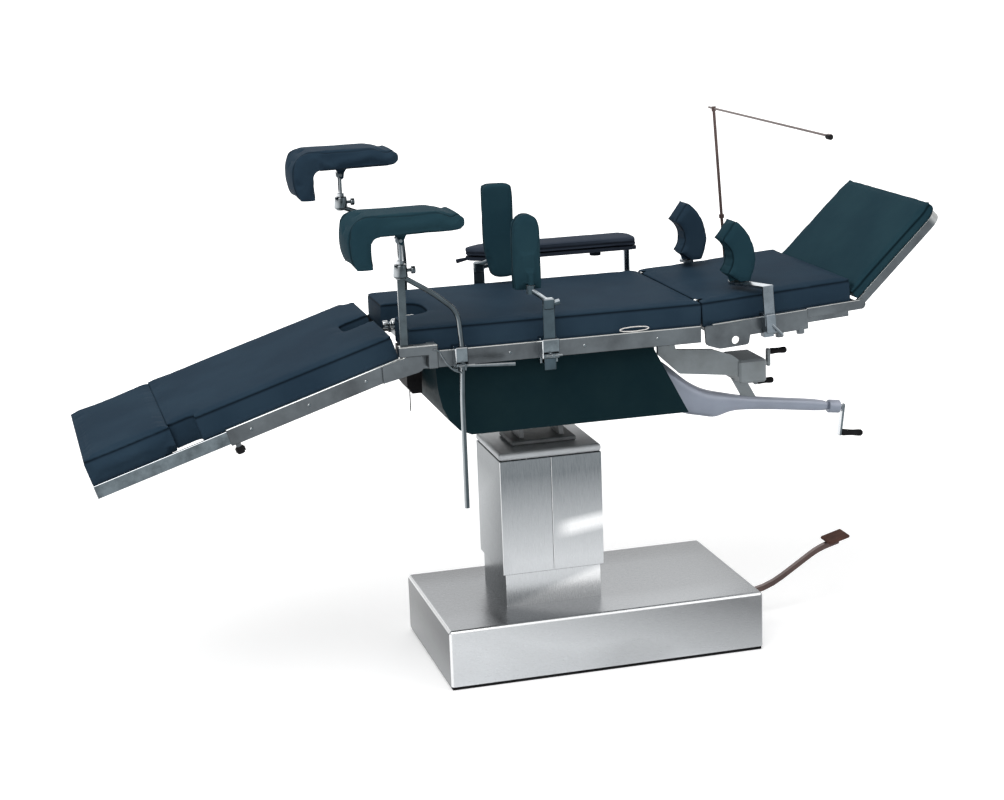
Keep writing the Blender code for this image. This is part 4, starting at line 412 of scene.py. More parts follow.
def only(piece):
    bpy.ops.object.select_all(action="DESELECT")
    piece.select_set(True)
    bpy.context.view_layer.objects.active = piece


def in_edit_mode(piece, *steps):
    """Runs operators on the whole mesh of one piece."""
    only(piece)
    bpy.ops.object.mode_set(mode="EDIT")
    bpy.ops.mesh.select_all(action="SELECT")
    for step in steps:
        step()
    bpy.ops.object.mode_set(mode="OBJECT")


def copied(node, name):
    """A copy of a CAD node with its triangles merged and flat areas joined."""
    piece = bpy.data.objects.new(name, nodes[node].data.copy())
    scene.collection.objects.link(piece)
    only(piece)
    if piece.data.has_custom_normals:
        bpy.ops.mesh.customdata_custom_splitnormals_clear()
    in_edit_mode(
        piece,
        lambda: bpy.ops.mesh.remove_doubles(threshold=0.00002),
        lambda: bpy.ops.mesh.dissolve_limited(angle_limit=math.radians(0.5)),
    )
    return piece


def apply_modifiers(piece):
    only(piece)
    for modifier in list(piece.modifiers):
        bpy.ops.object.modifier_apply(modifier=modifier.name)


def soften(piece, width, segments=2, angle=34):
    """Rounds every sharp edge, and shades the piece smooth with its flat faces kept flat."""
    bevel = piece.modifiers.new("soft edges", "BEVEL")
    bevel.limit_method = "ANGLE"
    bevel.angle_limit = math.radians(angle)
    bevel.width = width
    bevel.segments = segments
    bevel.use_clamp_overlap = True
    bevel.miter_outer = "MITER_ARC"
    apply_modifiers(piece)
    only(piece)
    bpy.ops.object.shade_smooth_by_angle(angle=math.radians(46))
    normals = piece.modifiers.new("flat faces", "WEIGHTED_NORMAL")
    normals.keep_sharp = True
    apply_modifiers(piece)


def settle(piece, node, material=None, stands_for=()):
    """Gives a finished piece its material, picked by its node's slot unless one is given, and its body. The
    nodes it stands for are hidden.
    """
    only(piece)
    bpy.ops.object.transform_apply(location=True, rotation=True, scale=True)
    piece.data.materials.clear()
    piece.data.materials.append(material or FINISHES[slot_of[node]])
    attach(piece, body_of[node])
    if stands_for:
        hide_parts(*stands_for)
    return piece


def refine(node, width, material=None, segments=2):
    piece = copied(node, f"{node}_finished")
    soften(piece, width, segments)
    return settle(piece, node, material, (node,))


def joined(name, pieces):
    bpy.ops.object.select_all(action="DESELECT")
    for piece in pieces:
        piece.select_set(True)
    bpy.context.view_layer.objects.active = pieces[0]
    bpy.ops.object.join()
    pieces[0].name = name
    pieces[0].data.name = name
    return pieces[0]


def box_between(name, low, high, bevel=0.0, segments=3):
    """A block between two corners, with its edges rounded by the bevel operator."""
    bpy.ops.object.select_all(action="DESELECT")
    middle = (Vector(low) + Vector(high)) / 2
    size = Vector(high) - Vector(low)
    bpy.ops.mesh.primitive_cube_add(size=1, location=middle, scale=size)
    piece = bpy.context.object
    piece.name = name
    bpy.ops.object.transform_apply(location=True, rotation=True, scale=True)
    if bevel:
        in_edit_mode(piece, lambda: bpy.ops.mesh.bevel(offset=bevel, segments=segments, affect="EDGES"))
    return piece


def round_bar(name, start, end, radius, rim=0.0, end_radius=None, sides=28):
    """A round bar or a cone between two points, with softened rims."""
    bpy.ops.object.select_all(action="DESELECT")
    start = Vector(start)
    end = Vector(end)
    turn = (end - start).to_track_quat("Z", "Y").to_euler()
    bpy.ops.mesh.primitive_cone_add(
        vertices=sides, radius1=radius, radius2=radius if end_radius is None else end_radius,
        depth=(end - start).length, location=(start + end) / 2, rotation=turn,
    )
    piece = bpy.context.object
    piece.name = name
    bpy.ops.object.transform_apply(location=True, rotation=True, scale=True)
    if rim:
        bevel = piece.modifiers.new("rims", "BEVEL")
        bevel.width = rim
        bevel.segments = 3
        bevel.limit_method = "ANGLE"
        bevel.angle_limit = math.radians(50)
        apply_modifiers(piece)
    return piece


def bent_bar(name, points, radius):
    """A round bar that follows a smooth curve through its points."""
    curve = bpy.data.curves.new(name, "CURVE")
    curve.dimensions = "3D"
    curve.bevel_depth = radius
    curve.bevel_resolution = 5
    curve.use_fill_caps = True
    curve.resolution_u = 10
    line = curve.splines.new("BEZIER")
    line.bezier_points.add(len(points) - 1)
    for knot, place in zip(line.bezier_points, points):
        knot.co = place
        knot.handle_left_type = "AUTO"
        knot.handle_right_type = "AUTO"
    piece = bpy.data.objects.new(name, curve)
    scene.collection.objects.link(piece)
    only(piece)
    bpy.ops.object.convert(target="MESH")
    return bpy.context.object


print("shaping kit ready,", len(body_of), "nodes to dress")

# %% [markdown]
# ## The base
# The base is a box of bent stainless sheet over a cast plate. Its bright outline is the folded edges, about
# 10 mm in radius, with a painted highlight on them. A cube is bevelled, its underside is deleted, windows are
# cut for the column and the pedal with bisect, and Solidify gives the sheet its 3 mm.

# %% Base cover
SHEET = 0.003
SLOT_HALF = 0.014
SLOT_BOTTOM = 0.018
SLOT_TOP = 0.112


def cut_window(piece, chosen, planes, inside):
    """Bisects the chosen faces along the planes and deletes those whose middle is inside."""
    for place, normal in planes:
        only(piece)
        bpy.ops.object.mode_set(mode="EDIT")
        bpy.ops.mesh.select_mode(type="FACE")
        bpy.ops.mesh.select_all(action="DESELECT")
        bpy.ops.object.mode_set(mode="OBJECT")
        for face in piece.data.polygons:
            face.select = chosen(face)
        bpy.ops.object.mode_set(mode="EDIT")
        bpy.ops.mesh.bisect(plane_co=place, plane_no=normal)
        bpy.ops.object.mode_set(mode="OBJECT")
    only(piece)
    bpy.ops.object.mode_set(mode="EDIT")
    bpy.ops.mesh.select_all(action="DESELECT")
    bpy.ops.object.mode_set(mode="OBJECT")
    for face in piece.data.polygons:
        face.select = chosen(face) and inside(face.center)
    bpy.ops.object.mode_set(mode="EDIT")
    bpy.ops.mesh.delete(type="FACE")
    bpy.ops.object.mode_set(mode="OBJECT")


low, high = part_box("base_cover")
cover = box_between("base_cover_sheet", (low.x, low.y, low.z - 0.020), high, 0.010, 6)
in_edit_mode(
    cover,
    lambda: bpy.ops.mesh.bisect(plane_co=(0, 0, low.z), plane_no=(0, 0, 1), clear_inner=True),
)
plinth_low, plinth_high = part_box("column_plinth")
cut_window(
    cover,
    lambda face: face.normal.z > 0.99,
    [((plinth_low.x, 0, 0), (1, 0, 0)), ((plinth_high.x, 0, 0), (1, 0, 0)),
     ((0, plinth_low.y, 0), (0, 1, 0)), ((0, plinth_high.y, 0), (0, 1, 0))],
    lambda middle: plinth_low.x < middle.x < plinth_high.x and plinth_low.y < middle.y < plinth_high.y,
)
cut_window(
    cover,
    lambda face: face.normal.x > 0.99,
    [((0, -SLOT_HALF, 0), (0, 1, 0)), ((0, SLOT_HALF, 0), (0, 1, 0)),
     ((0, 0, SLOT_BOTTOM), (0, 0, 1)), ((0, 0, SLOT_TOP), (0, 0, 1))],
    lambda middle: abs(middle.y) < SLOT_HALF and SLOT_BOTTOM < middle.z < SLOT_TOP,
)
wall = cover.modifiers.new("sheet", "SOLIDIFY")
wall.thickness = SHEET
wall.offset = -1
apply_modifiers(cover)
bpy.ops.object.shade_smooth_by_angle(angle=math.radians(40))
settle(cover, "base_cover", base_steel, ("base_cover",))
print("base cover", [round(v, 3) for v in cover.dimensions])

# %% [markdown]
# ## The column
# Two polished steel shells meet at a seam in the middle of the front, and a thicker cap with a rolled rim
# sits on top. The shells slide over a plinth that is a little narrower. The seam is real here: the shells are
# separate pieces with rounded edges, so it catches a thin dark line and a highlight.

# %% Column
for node in ("column_cover_foot_half", "column_cover_head_half"):
    refine(node, 0.0022, column_steel, 3)
refine("column_plinth", 0.0022, column_steel, 3)
low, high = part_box("column_cap")
cap = box_between("column_cap_rolled", low, high, 0.0085, 6)
soften(cap, 0.0005)
settle(cap, "column_cap", cap_steel, ("column_cap",))
for node in ("tilt_yoke", "tilt_cross", "hydraulic_unit"):
    refine(node, 0.0012)
refine("base_plate", 0.0012, black_plastic)
for node in ("lift_ram", "pump_plunger"):
    refine(node, 0.0006)
print("column, cap and tilt joint")

# %% [markdown]
# ## Frames and rails
# The top's five sections stand on welded frames of steel bar, with a 10 mm rail along each side. Their edges
# are broken by less than a millimetre. The thin bright line along each rail is a painted highlight on its
# upward faces.

# %% Frames
for node in ("seat_frame", "back_frame", "leg_frame", "head_frame", "head_arms", "foot_frame"):
    refine(node, 0.0007, rail_steel if node != "foot_frame" else polished_steel)
print("six frames")

# %% [markdown]
# The skirt below the seat is bent sheet with a rolled foot end. The black box at the leg hinge covers the
# release mechanism, and a thin straight wire hangs out of it.

# %% Skirt and hinge cover
refine("frame_shroud", 0.0012, dark_paint)
refine("leg_hinge_cover", 0.0035, black_plastic, 3)
print("skirt and hinge cover")

# %% [markdown]
# ## The drives
# The tilt drive's housing is a cast horn that narrows into a tube. It is grown from one ring of points, which
# is extruded, moved and resized from station to station, then smoothed with a subdivision surface. Each
# station gives a place along X, the horn's top and bottom there, and half its width.

# %% Drive housing
DRIVE_Y = -0.120
STATIONS = (
    (0.150, 0.765, 0.640, 0.030), (0.215, 0.706, 0.606, 0.030), (0.246, 0.678, 0.594, 0.029),
    (0.284, 0.655, 0.588, 0.027), (0.317, 0.645, 0.577, 0.025), (0.352, 0.637, 0.594, 0.022),
    (0.405, 0.623, 0.592, 0.018), (0.535, 0.606, 0.577, 0.0155), (0.632, 0.592, 0.562, 0.0155),
)
bpy.ops.object.select_all(action="DESELECT")
first = STATIONS[0]
first_middle = (first[1] + first[2]) / 2
bpy.ops.mesh.primitive_circle_add(
    vertices=20, radius=1, fill_type="NGON",
    location=(first[0], DRIVE_Y, first_middle), rotation=(0, math.pi / 2, 0),
)
horn = bpy.context.object
bpy.ops.object.transform_apply(location=True, rotation=True, scale=True)


def squared(share):
    """A rounded square instead of a circle: points are pushed outwards by a power below one."""
    return math.copysign(abs(share) ** 0.72, share)


for vertex in horn.data.vertices:
    vertex.co.y = DRIVE_Y + squared(vertex.co.y - DRIVE_Y) * first[3]
    vertex.co.z = first_middle + squared(vertex.co.z - first_middle) * (first[1] - first[2]) / 2
only(horn)
bpy.ops.object.mode_set(mode="EDIT")
bpy.ops.mesh.select_all(action="SELECT")
for before, after in zip(STATIONS, STATIONS[1:]):
    middle_before = (before[1] + before[2]) / 2
    middle_after = (after[1] + after[2]) / 2
    step = (after[0] - before[0], 0, middle_after - middle_before)
    bpy.ops.mesh.extrude_region_move(TRANSFORM_OT_translate={"value": step})
    bpy.ops.transform.resize(
        value=(1, after[3] / before[3], (after[1] - after[2]) / (before[1] - before[2])),
        center_override=(after[0], DRIVE_Y, middle_after),
    )
bpy.ops.mesh.select_all(action="SELECT")
bpy.ops.mesh.normals_make_consistent(inside=False)
bpy.ops.object.mode_set(mode="OBJECT")
smooth = horn.modifiers.new("cast", "SUBSURF")
smooth.levels = 2
smooth.render_levels = 2
apply_modifiers(horn)
slope = math.radians(7)
drive_axis = Vector((math.cos(slope), 0, -math.sin(slope)))
drive_end = Vector((0.650, DRIVE_Y, 0.5735))
collar = round_bar("collar", drive_end - drive_axis * 0.030, drive_end, 0.0165, 0.002)
flange = box_between("flange", (0.068, DRIVE_Y - 0.030, 0.786), (0.158, -0.062, 0.7995), 0.002)
neck = box_between("neck", (0.140, DRIVE_Y - 0.026, 0.735), (0.158, DRIVE_Y + 0.026, 0.799), 0.004)
bridge = box_between("bridge", (0.070, -0.193, 0.7895), (0.155, -0.119, 0.7995), 0.0015)
horn = joined("drive_housing_cast", [horn, collar, flange, neck, bridge])
bpy.ops.object.shade_smooth_by_angle(angle=math.radians(42))
settle(horn, "drive_housing", pale_housing, ("drive_housing",))
refine("gear_bracket", 0.0018, grey_casting, 3)
print("drive housing", [round(v, 3) for v in horn.dimensions])

# %% [markdown]
# ## Crank handles
# Each crank is a forged arm on a shaft, with a black grip that turns on its own pin. A grip is waisted in the
# middle and round at its ends, so its profile is drawn as rings that are extruded and resized.

# %% Cranks and grips
for node in ("main_crank", "upper_crank", "lower_crank"):
    refine(node, 0.0016, polished_steel if node == "main_crank" else grey_casting, 3)

GRIP_PROFILE = (
    (0.00, 0.62), (0.03, 0.92), (0.10, 1.0), (0.30, 0.90),
    (0.55, 0.86), (0.80, 0.98), (0.93, 0.96), (1.0, 0.62),
)


def turned_grip(node, axis):
    """A waisted grip between the ends of its CAD node."""
    low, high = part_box(node)
    middle = (low + high) / 2
    corners = [Vector(vertex.co) for vertex in nodes[node].data.vertices]
    reach = [(corner - middle).dot(axis) for corner in corners]
    start = middle + axis * min(reach)
    length = max(reach) - min(reach)
    radius = max((corner - middle - axis * (corner - middle).dot(axis)).length for corner in corners)
    bpy.ops.object.select_all(action="DESELECT")
    bpy.ops.mesh.primitive_circle_add(
        vertices=24, radius=radius * GRIP_PROFILE[0][1], fill_type="NGON",
        location=start, rotation=axis.to_track_quat("Z", "Y").to_euler(),
    )
    grip = bpy.context.object
    grip.name = f"{node}_turned"
    bpy.ops.object.transform_apply(location=True, rotation=True, scale=True)
    only(grip)
    bpy.ops.object.mode_set(mode="EDIT")
    bpy.ops.mesh.select_all(action="SELECT")
    for before, after in zip(GRIP_PROFILE, GRIP_PROFILE[1:]):
        step = axis * length * (after[0] - before[0])
        bpy.ops.mesh.extrude_region_move(TRANSFORM_OT_translate={"value": step})
        scale = after[1] / before[1]
        centre = start + axis * length * after[0]
        bpy.ops.transform.resize(value=(scale, scale, scale), center_override=centre)
    bpy.ops.mesh.select_all(action="SELECT")
    bpy.ops.mesh.normals_make_consistent(inside=False)
    bpy.ops.object.mode_set(mode="OBJECT")
    bpy.ops.object.shade_smooth_by_angle(angle=math.radians(50))
    return settle(grip, node, black_plastic, (node,))


turned_grip("main_crank_grip", drive_axis)
turned_grip("upper_crank_grip", Vector((1, 0, 0)))
turned_grip("lower_crank_grip", Vector((1, 0, 0)))
print("three cranks with grips")

# %% [markdown]
# ## Clamps, posts and brackets
# Accessories hook over the side rails with small plated clamps. They are drop forged, so their edges are
# rounder than the rail's.

# %% Small fittings
for name in ("near_knee", "far_knee", "near_side", "far_side", "arm_board", "screen"):
    refine(f"{name}_clamp", 0.0010, polished_steel)
for node in ("near_knee_rod", "far_knee_rod", "leg_release_knob"):
    refine(node, 0.0008, polished_steel)
for node in ("near_side_post", "far_side_post"):
    refine(node, 0.0008, post_steel)
for node in ("near_shoulder_bracket", "far_shoulder_bracket"):
    refine(node, 0.0008, satin_steel)
refine("pedal_lever", 0.0028, screen_steel, 3)
refine("foot_lock_knob", 0.0010, black_plastic)
refine("arm_board", 0.0016, slate_paint, 3)
print("fittings")

# %% [markdown]
# The knee supports' poles are one bent bar each. The CAD pole is made of straight pieces, so a smooth curve
# through the same points takes its place, with the flat stay, the round joint and its clamping screw.

# %% Knee poles
POLE_RADIUS = 0.006
JOINT_RADIUS = 0.017
JOINT_HALF = 0.015
POLE_INTO_JOINT = 0.011
STAY_HALF = 0.009
STAY_THIN_HALF = 0.0025


def knee_pole(name, y, pole_x, bottom, bend_z, knuckle_x, top, stay_bottom=None):
    """One bent pole from its bottom to the round joint at its top, with its flat stay if it has one."""
    reach = Vector((knuckle_x - pole_x, 0, top - POLE_INTO_JOINT - bend_z)).normalized()
    bend = Vector((pole_x, y, bend_z))
    route = [
        (pole_x, y, bottom + 0.001), (pole_x, y, (bottom + bend_z) / 2), (pole_x, y, bend_z - 0.045),
        bend + Vector((-0.008, 0, -0.005)), bend + reach * 0.045, (knuckle_x, y, top - POLE_INTO_JOINT),
    ]
    joint = Vector((knuckle_x, y, top))
    up = Vector((0, 0, 1))
    out = Vector((1, 0, 0))
    pieces = [bent_bar("pole", route, POLE_RADIUS)]
    if stay_bottom:
        low = (knuckle_x - STAY_HALF, y - STAY_THIN_HALF, stay_bottom + 0.0005)
        pieces.append(box_between("stay", low, (knuckle_x + STAY_HALF, y + STAY_THIN_HALF, top), 0.0008))
    ends = (joint - up * JOINT_HALF, joint + up * JOINT_HALF)
    pieces.append(round_bar("joint", *ends, JOINT_RADIUS, 0.003, 0.0148))
    pieces.append(round_bar("screw", joint, joint + out * 0.025, 0.004, 0.0006, sides=16))
    pieces.append(round_bar("knob", joint + out * 0.024, joint + out * 0.034, 0.009, 0.002, sides=20))
    pieces.append(round_bar("ring", joint - up * 0.019, joint - up * 0.0155, 0.0125, 0.001))
    whole = joined(f"{name}_bent", pieces)
    bpy.ops.object.shade_smooth_by_angle(angle=math.radians(42))
    return settle(whole, name, pole_steel, (name,))


knee_pole("near_knee_pole", -0.272, -0.353, 0.465, 0.935, -0.484, 1.036, stay_bottom=0.856)
knee_pole("far_knee_pole", 0.272, -0.361, 0.640, 1.045, -0.512, 1.121)
print("two knee poles")

# %% [markdown]
# The screen is a thin rod with a cross bar for drapes. The bar's near end has a small black cap.

# %% Screen
refine("screen_pole", 0.0004, screen_steel)
refine("screen_bar", 0.0004, screen_steel)
low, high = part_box("screen_bar")
tip = Vector((low.x + 0.006, low.y, (low.z + high.z) / 2 - 0.001))
cap_ends = (tip - Vector((0, 0.0006, 0)), tip + Vector((0, 0.018, 0)))
near_cap = round_bar("screen_cap_near", *cap_ends, 0.0064, 0.0012)
settle(near_cap, "screen_bar", black_plastic)
print("screen", [round(v, 4) for v in low], [round(v, 4) for v in high])

# %% [markdown]
# The pedal's tread is a block of rubber with cross ribs, moulded over the end of the lever.

# %% Tread
tread = copied("pedal_tread", "pedal_tread_ribbed")
soften(tread, 0.0016, 3)
settle(tread, "pedal_tread", black_rubber, ("pedal_tread",))
print("tread")

# %% [markdown]
# A thin bent strap hangs in an S from the stay's cup to the knee clamp on the near rail. A flat wire loop
# stands on the rail near its head end.

# %% Strap
STRAP_Y = -0.2865
STRAP_LINE = (
    (-0.420, 0.851), (-0.409, 0.848), (-0.398, 0.830), (-0.383, 0.808), (-0.369, 0.797), (-0.353, 0.791),
)
LOOP_PLACE = Vector((0.0745, -0.2445, 0.8470))
LOOP_HALF_LENGTH = 0.036
LOOP_HALF_HEIGHT = 0.0052
strap = bent_bar("s_strap", [(x, STRAP_Y, z) for x, z in STRAP_LINE], 0.0022)
bpy.ops.object.shade_smooth_by_angle(angle=math.radians(42))
settle(strap, "seat_frame", polished_steel)
loop_line = []
for angle in (math.radians(30 * step) for step in range(13)):
    away = Vector((LOOP_HALF_LENGTH * math.cos(angle), 0, LOOP_HALF_HEIGHT * math.sin(angle)))
    loop_line.append(LOOP_PLACE + away)
loop = bent_bar("rail_loop", loop_line, 0.0013)
bpy.ops.object.shade_smooth_by_angle(angle=math.radians(42))
settle(loop, "seat_frame", white_wire)
print("strap and loop")

# %% [markdown]
# ## Pads
# The pads are foam on board, under a cover that is drawn tight and sewn along its edges. Foam pushes the
# cover outwards between the seams, which a cloth simulation with a little pressure shows well. Each pad
# starts smaller than its CAD solid, is made of even quads by a voxel remesh and is blown up by a few
# millimetres. Then it is stretched to fill the space of its solid and held inside it. A tight pad stays
# nearly flat with softly rounded edges.

# %% Pad helpers
LEVEL = (Vector((0, 0, 0)), 0.0)
BACK_SECTION = (Vector((0.245, 0, 0.889)), math.radians(3.75))
LEG_SECTION = (Vector((-0.455, 0, 0.816)), math.radians(17.4))
HEAD_SECTION = (Vector((0.64897, 0, 0.85685)), math.radians(44.0))
SEAM_DEPTH = 0.0014
SEAM_WIDTH = 0.003
PROUD = 0.001
PRESS_REACH = 0.014


def coordinates(mesh):
    values = np.empty(len(mesh.vertices) * 3)
    mesh.vertices.foreach_get("co", values)
    return values.reshape(-1, 3)


def vertex_normals(mesh):
    values = np.empty(len(mesh.vertices) * 3)
    mesh.vertices.foreach_get("normal", values)
    return values.reshape(-1, 3)


def write_coordinates(mesh, values):
    mesh.vertices.foreach_set("co", values.ravel())
    mesh.update()


def to_section(values, section, back=False):
    """Turns points from the world into a tilted section's own axes, or back."""
    place, turn = section
    c, s = math.cos(turn), math.sin(turn)
    origin = np.array(place)
    if back:
        x, z = values[:, 0], values[:, 2]
        return np.stack([x * c - z * s, values[:, 1], x * s + z * c], axis=1) + origin
    moved = values - origin
    x, z = moved[:, 0], moved[:, 2]
    return np.stack([x * c + z * s, moved[:, 1], -x * s + z * c], axis=1)


def blow_up(piece, room):
    """Runs the cloth for 20 frames and keeps each point within its room."""
    before = coordinates(piece.data)
    cloth = piece.modifiers.new("cover", "CLOTH")
    cloth.settings.use_pressure = True
    cloth.settings.uniform_pressure_force = 4
    cloth.settings.effector_weights.gravity = 0
    cloth.settings.quality = 3
    cloth.collision_settings.use_collision = False
    for step in range(1, 21):
        scene.frame_set(step)
    graph = bpy.context.evaluated_depsgraph_get()
    after = coordinates(piece.evaluated_get(graph).data)
    piece.modifiers.remove(cloth)
    scene.frame_set(1)
    move = after - before
    length = np.linalg.norm(move, axis=1)
    share = np.minimum(1.0, room / np.maximum(length, 1e-9))
    write_coordinates(piece.data, before + move * share[:, None])
    return float(length.mean())


def sew(piece, section, axis, place):
    """Presses a sewn line into the sides, at a place along one of the section's axes, and writes its painted
    shade into the seam attribute.
    """
    values = to_section(coordinates(piece.data), section)
    normals = to_section(vertex_normals(piece.data) + np.array(section[0]), section)
    across = np.clip(1.3 - 1.6 * np.abs(normals[:, axis]), 0, 1)
    mask = np.exp(-(((values[:, axis] - place) / SEAM_WIDTH) ** 2)) * across
    values -= normals * (SEAM_DEPTH * mask)[:, None]
    write_coordinates(piece.data, to_section(values, section, back=True))
    seam = seam_attribute(piece.data)
    sewn = np.empty(len(seam.data))
    seam.data.foreach_get("value", sewn)
    seam.data.foreach_set("value", np.maximum(sewn, mask))


def seam_attribute(mesh):
    """The seam attribute of a mesh, made if it isn't there."""
    return mesh.attributes.get("seam") or mesh.attributes.new("seam", "FLOAT", "POINT")


def box_in_section(name, section, low, high):
    box = box_between(name, low, high)
    write_coordinates(box.data, to_section(coordinates(box.data), section, back=True))
    return box


def press_flat(piece, section, sides):
    """Presses sides of a cushion flat, as they butt on another one or lie on a plate: (axis, sign, limit)."""
    values = to_section(coordinates(piece.data), section)
    normals = to_section(vertex_normals(piece.data) + np.array(section[0]), section)
    for axis, sign, limit in sides:
        close = np.abs(values[:, axis] - limit) < PRESS_REACH
        share = np.clip((sign * normals[:, axis] - 0.35) / 0.4, 0, 1) * close
        values[:, axis] += (limit - values[:, axis]) * share
    write_coordinates(piece.data, to_section(values, section, back=True))


def make_pad(node, section, material, voxel, puff, seams, fillers=(), boxy=False):
    """One padded piece in the space of its CAD solid. seams holds (axis, place) pairs in the section's axes.

    Fillers are boxes of foam that are joined on. A boxy pad has flat ends and a flat underside."""
    pad = copied(node, f"{node}_padded")
    if fillers:
        pad = joined(f"{node}_padded", [pad, *fillers])
    solid = to_section(coordinates(pad.data), section)
    low, high = solid.min(0), solid.max(0)
    remesh = pad.modifiers.new("even quads", "REMESH")
    remesh.mode = "VOXEL"
    remesh.voxel_size = voxel
    shrink = pad.modifiers.new("start smaller", "DISPLACE")
    shrink.mid_level = 0
    shrink.strength = -0.8 * puff
    apply_modifiers(pad)
    local = to_section(coordinates(pad.data), section)
    middle = (low + high) / 2
    half = np.maximum((high - low) / 2, 1e-6)
    share = (local - middle) / half
    crown = (1 - np.clip(share[:, 0], -1, 1) ** 2) * (1 - np.clip(share[:, 1], -1, 1) ** 2)
    room = puff * (0.8 + 0.35 * crown)
    swell = 0.0
    swell = blow_up(pad, room)
    even = pad.modifiers.new("ease", "SMOOTH")
    even.iterations = 2
    even.factor = 0.5
    finer = pad.modifiers.new("finer", "SUBSURF")
    finer.levels = 1
    finer.render_levels = 1
    apply_modifiers(pad)
    local = to_section(coordinates(pad.data), section)
    local = low + (local - local.min(0)) * (high - low) / (local.max(0) - local.min(0))
    local = np.clip(local, low - PROUD * np.array([1, 1, 0]), high + PROUD * np.array([1, 1, 2.5]))
    write_coordinates(pad.data, to_section(local, section, back=True))
    if boxy:
        press_flat(pad, section, ((0, -1, low[0]), (0, 1, high[0]), (2, -1, low[2])))
    seam_attribute(pad.data)
    for axis, place in seams:
        sew(pad, section, axis, place)
    only(pad)
    bpy.ops.object.shade_smooth()
    settle(pad, node, material, (node,))
    print(node, len(pad.data.polygons), "faces, swelled", round(swell * 1000, 1), "mm")
    return pad


print("pad kit ready")

# %% [markdown]
# The five large cushions get a sewn line a little below their top edge, where the top panel meets the side
# panel of the cover. The CAD model cuts off both corners of the leg cushion at the hinge. The near one is
# filled here, and a lip on the foot cushion closes the running gap between the two to a thin dark line.

# %% Large cushions
SEAM_BELOW = 0.011
CUSHION_HALF = 0.2377
leg_corner = box_in_section(
    "leg_corner", LEG_SECTION, (-0.090, -CUSHION_HALF, 0.018), (-0.034, -0.180, 0.083),
)
foot_lip = box_in_section(
    "foot_lip", LEG_SECTION, (-0.590, -CUSHION_HALF, 0.026), (-0.5685, CUSHION_HALF, 0.0835),
)
for node, section, material, voxel, top, fillers in (
    ("seat_cushion", LEVEL, navy_leather, 0.0065, 0.900, ()),
    ("back_cushion", BACK_SECTION, navy_leather, 0.006, 0.011, ()),
    ("leg_cushion", LEG_SECTION, navy_leather, 0.006, 0.084, (leg_corner,)),
    ("foot_cushion", LEG_SECTION, navy_leather, 0.006, 0.084, (foot_lip,)),
    ("head_cushion", HEAD_SECTION, teal_leather, 0.0055, 0.042, ()),
):
    make_pad(node, section, material, voxel, 0.005, [(2, top - SEAM_BELOW)], fillers=fillers, boxy=True)

# %% [markdown]
# The small pads are rounder: thick foam on a curved shell, with a seam near each flank.

# %% Small pads
KNEE_Y = 0.272
KNEE_SEAM = 0.062
SHOULDER_Y = 0.165
SHOULDER_SEAM = 0.026
SIDE_Y = 0.190
ARM_SEAM_Z = 0.9575
for name, y in (("near", -KNEE_Y), ("far", KNEE_Y)):
    node = f"{name}_knee_pad"
    make_pad(node, LEVEL, FINISHES[slot_of[node]], 0.0045, 0.005, [(1, y - KNEE_SEAM), (1, y + KNEE_SEAM)])
for name, y in (("near", -SHOULDER_Y), ("far", SHOULDER_Y)):
    node = f"{name}_shoulder_pad"
    seams = [(1, y - SHOULDER_SEAM), (1, y + SHOULDER_SEAM)]
    make_pad(node, BACK_SECTION, FINISHES[slot_of[node]], 0.0035, 0.004, seams)
for name, y in (("near", -SIDE_Y), ("far", SIDE_Y)):
    make_pad(f"{name}_side_pad", LEVEL, teal_leather, 0.0035, 0.004, [(1, y)])
make_pad("arm_board_pad", LEVEL, faded_leather, 0.0045, 0.004, [(2, ARM_SEAM_Z)])

# %% [markdown]
# ## Fasteners
# Button-head screws hold the rails to their spacers. One head is modelled and copied along each rail.

# %% Rail screws
RAIL_FACE = 0.2498
SEAT_SCREW_Z = 0.820
LEG_SCREW_Z = 0.004


def button_heads(name, body_node, places):
    """Low domed heads, joined into one piece."""
    heads = []
    for place, normal in places:
        top = Vector(place) + Vector(normal) * 0.0022
        heads.append(round_bar("head", place, top, 0.0042, 0.0010, 0.0036, 16))
    piece = joined(name, heads)
    bpy.ops.object.shade_smooth_by_angle(angle=math.radians(50))
    return settle(piece, body_node, polished_steel)


def tilted(section, x, y, z):
    return tuple(to_section(np.array([[x, y, z]]), section, back=True)[0])


seat_screws = []
leg_screws = []
for side in (-1, 1):
    for x in (-0.390, -0.230, -0.050, 0.130):
        seat_screws.append(((x, side * RAIL_FACE, SEAT_SCREW_Z), (0, side, 0)))
    for x in (-0.120, -0.260, -0.400):
        leg_screws.append((tilted(LEG_SECTION, x, side * RAIL_FACE, LEG_SCREW_Z), (0, side, 0)))
button_heads("seat_rail_screws", "seat_frame", seat_screws)
button_heads("leg_rail_screws", "leg_frame", leg_screws)
print(len(seat_screws) + len(leg_screws), "screws")

# %% [markdown]
# ## The studio
# A pale floor, a soft key light from the near side above, a weaker one from the head end and one from behind.
# The floor turns to plain white away from the table, and mirrors see that white too. Behind the table the
# mirrored room is a little darker, as a studio is beyond its lamps.

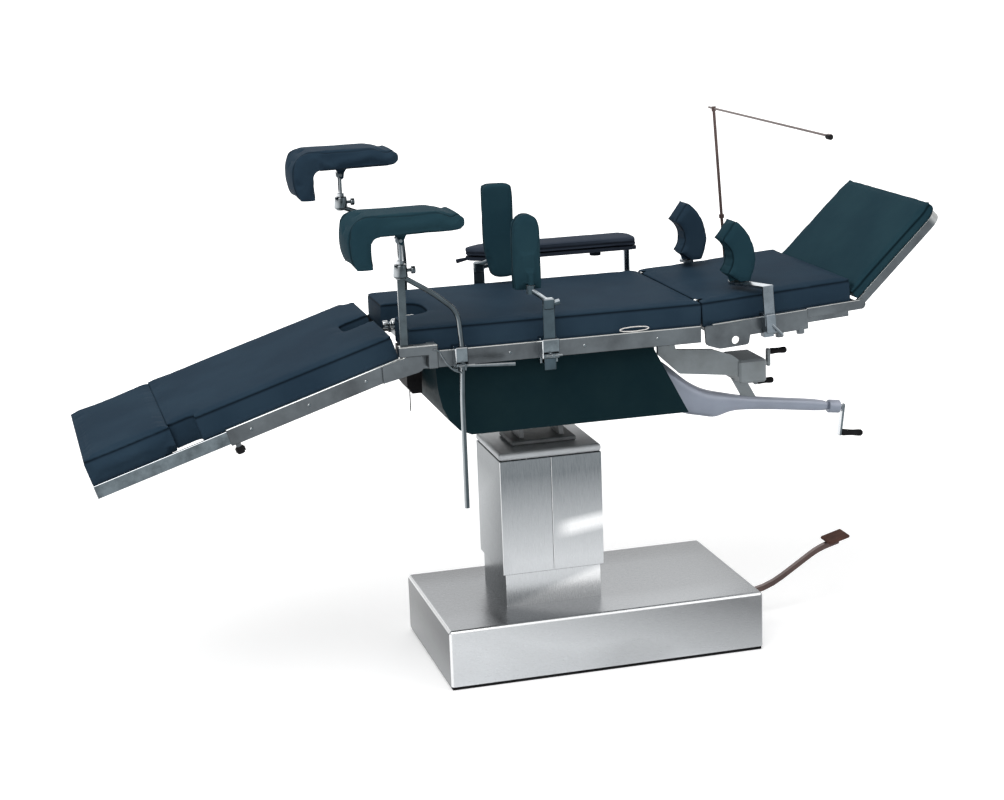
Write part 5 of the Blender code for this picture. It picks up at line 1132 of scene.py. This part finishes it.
# %% Floor and light
bpy.ops.object.select_all(action="DESELECT")
bpy.ops.mesh.primitive_plane_add(size=160, location=(0, 0, 0))
floor = bpy.context.object
floor.name = "studio_floor"
material, tree, surface = new_material("studio_floor", (0.80, 0.80, 0.80), 0.9)
place = put(tree, "TexCoord")
far_off = put(tree, "VectorMath", operation="LENGTH")
tree.links.new(place.outputs["Object"], far_off.inputs[0])
glow = spread(tree, far_off.outputs["Value"], 0.42, 1.0, 1.2, 4.0)
path = put(tree, "LightPath")
seen = combine(tree, path.outputs["Is Camera Ray"], path.outputs["Is Glossy Ray"], "MAXIMUM")
tree.links.new(combine(tree, glow, seen), surface.inputs["Emission Strength"])
surface.inputs["Emission Color"].default_value = (1, 1, 1, 1)
floor.data.materials.append(material)

world = bpy.data.worlds.new("studio")
scene.world = world
world.use_nodes = True
tree = world.node_tree
background = tree.nodes["Background"]
background.inputs["Color"].default_value = (1, 1, 1, 1)
path = put(tree, "LightPath")
seen = combine(tree, path.outputs["Is Camera Ray"], path.outputs["Is Glossy Ray"], "MAXIMUM")
seen = combine(tree, seen, path.outputs["Is Transmission Ray"], "MAXIMUM")
direction = put(tree, "TexCoord")
backdrop = put(tree, "VectorMath", operation="DOT_PRODUCT")
tree.links.new(direction.outputs["Generated"], backdrop.inputs[0])
backdrop.inputs[1].default_value = (0, 1, 0)
behind = spread(tree, backdrop.outputs["Value"], 0, 1, 0.1, 0.6)
mirrored = combine(tree, behind, path.outputs["Is Glossy Ray"])
strength = combine(tree, spread(tree, seen, 0.50, 1.0), spread(tree, mirrored, 1.0, 0.80))
tree.links.new(strength, background.inputs["Strength"])

for name, place, target, size, power in (
    ("key", (-2.6, -2.6, 5.0), (0, 0, 0.7), 5.0, 190),
    ("fill", (4.2, -3.2, 3.2), (0, 0, 0.7), 4.0, 55),
    ("rim", (0.6, 4.4, 3.8), (0, 0, 0.9), 4.0, 60),
):
    bpy.ops.object.light_add(type="AREA", location=place)
    lamp = bpy.context.object
    lamp.name = name
    lamp.data.energy = power
    lamp.data.size = size
    lamp.rotation_euler = (Vector(target) - Vector(place)).to_track_quat("-Z", "Y").to_euler()
print("studio lit")
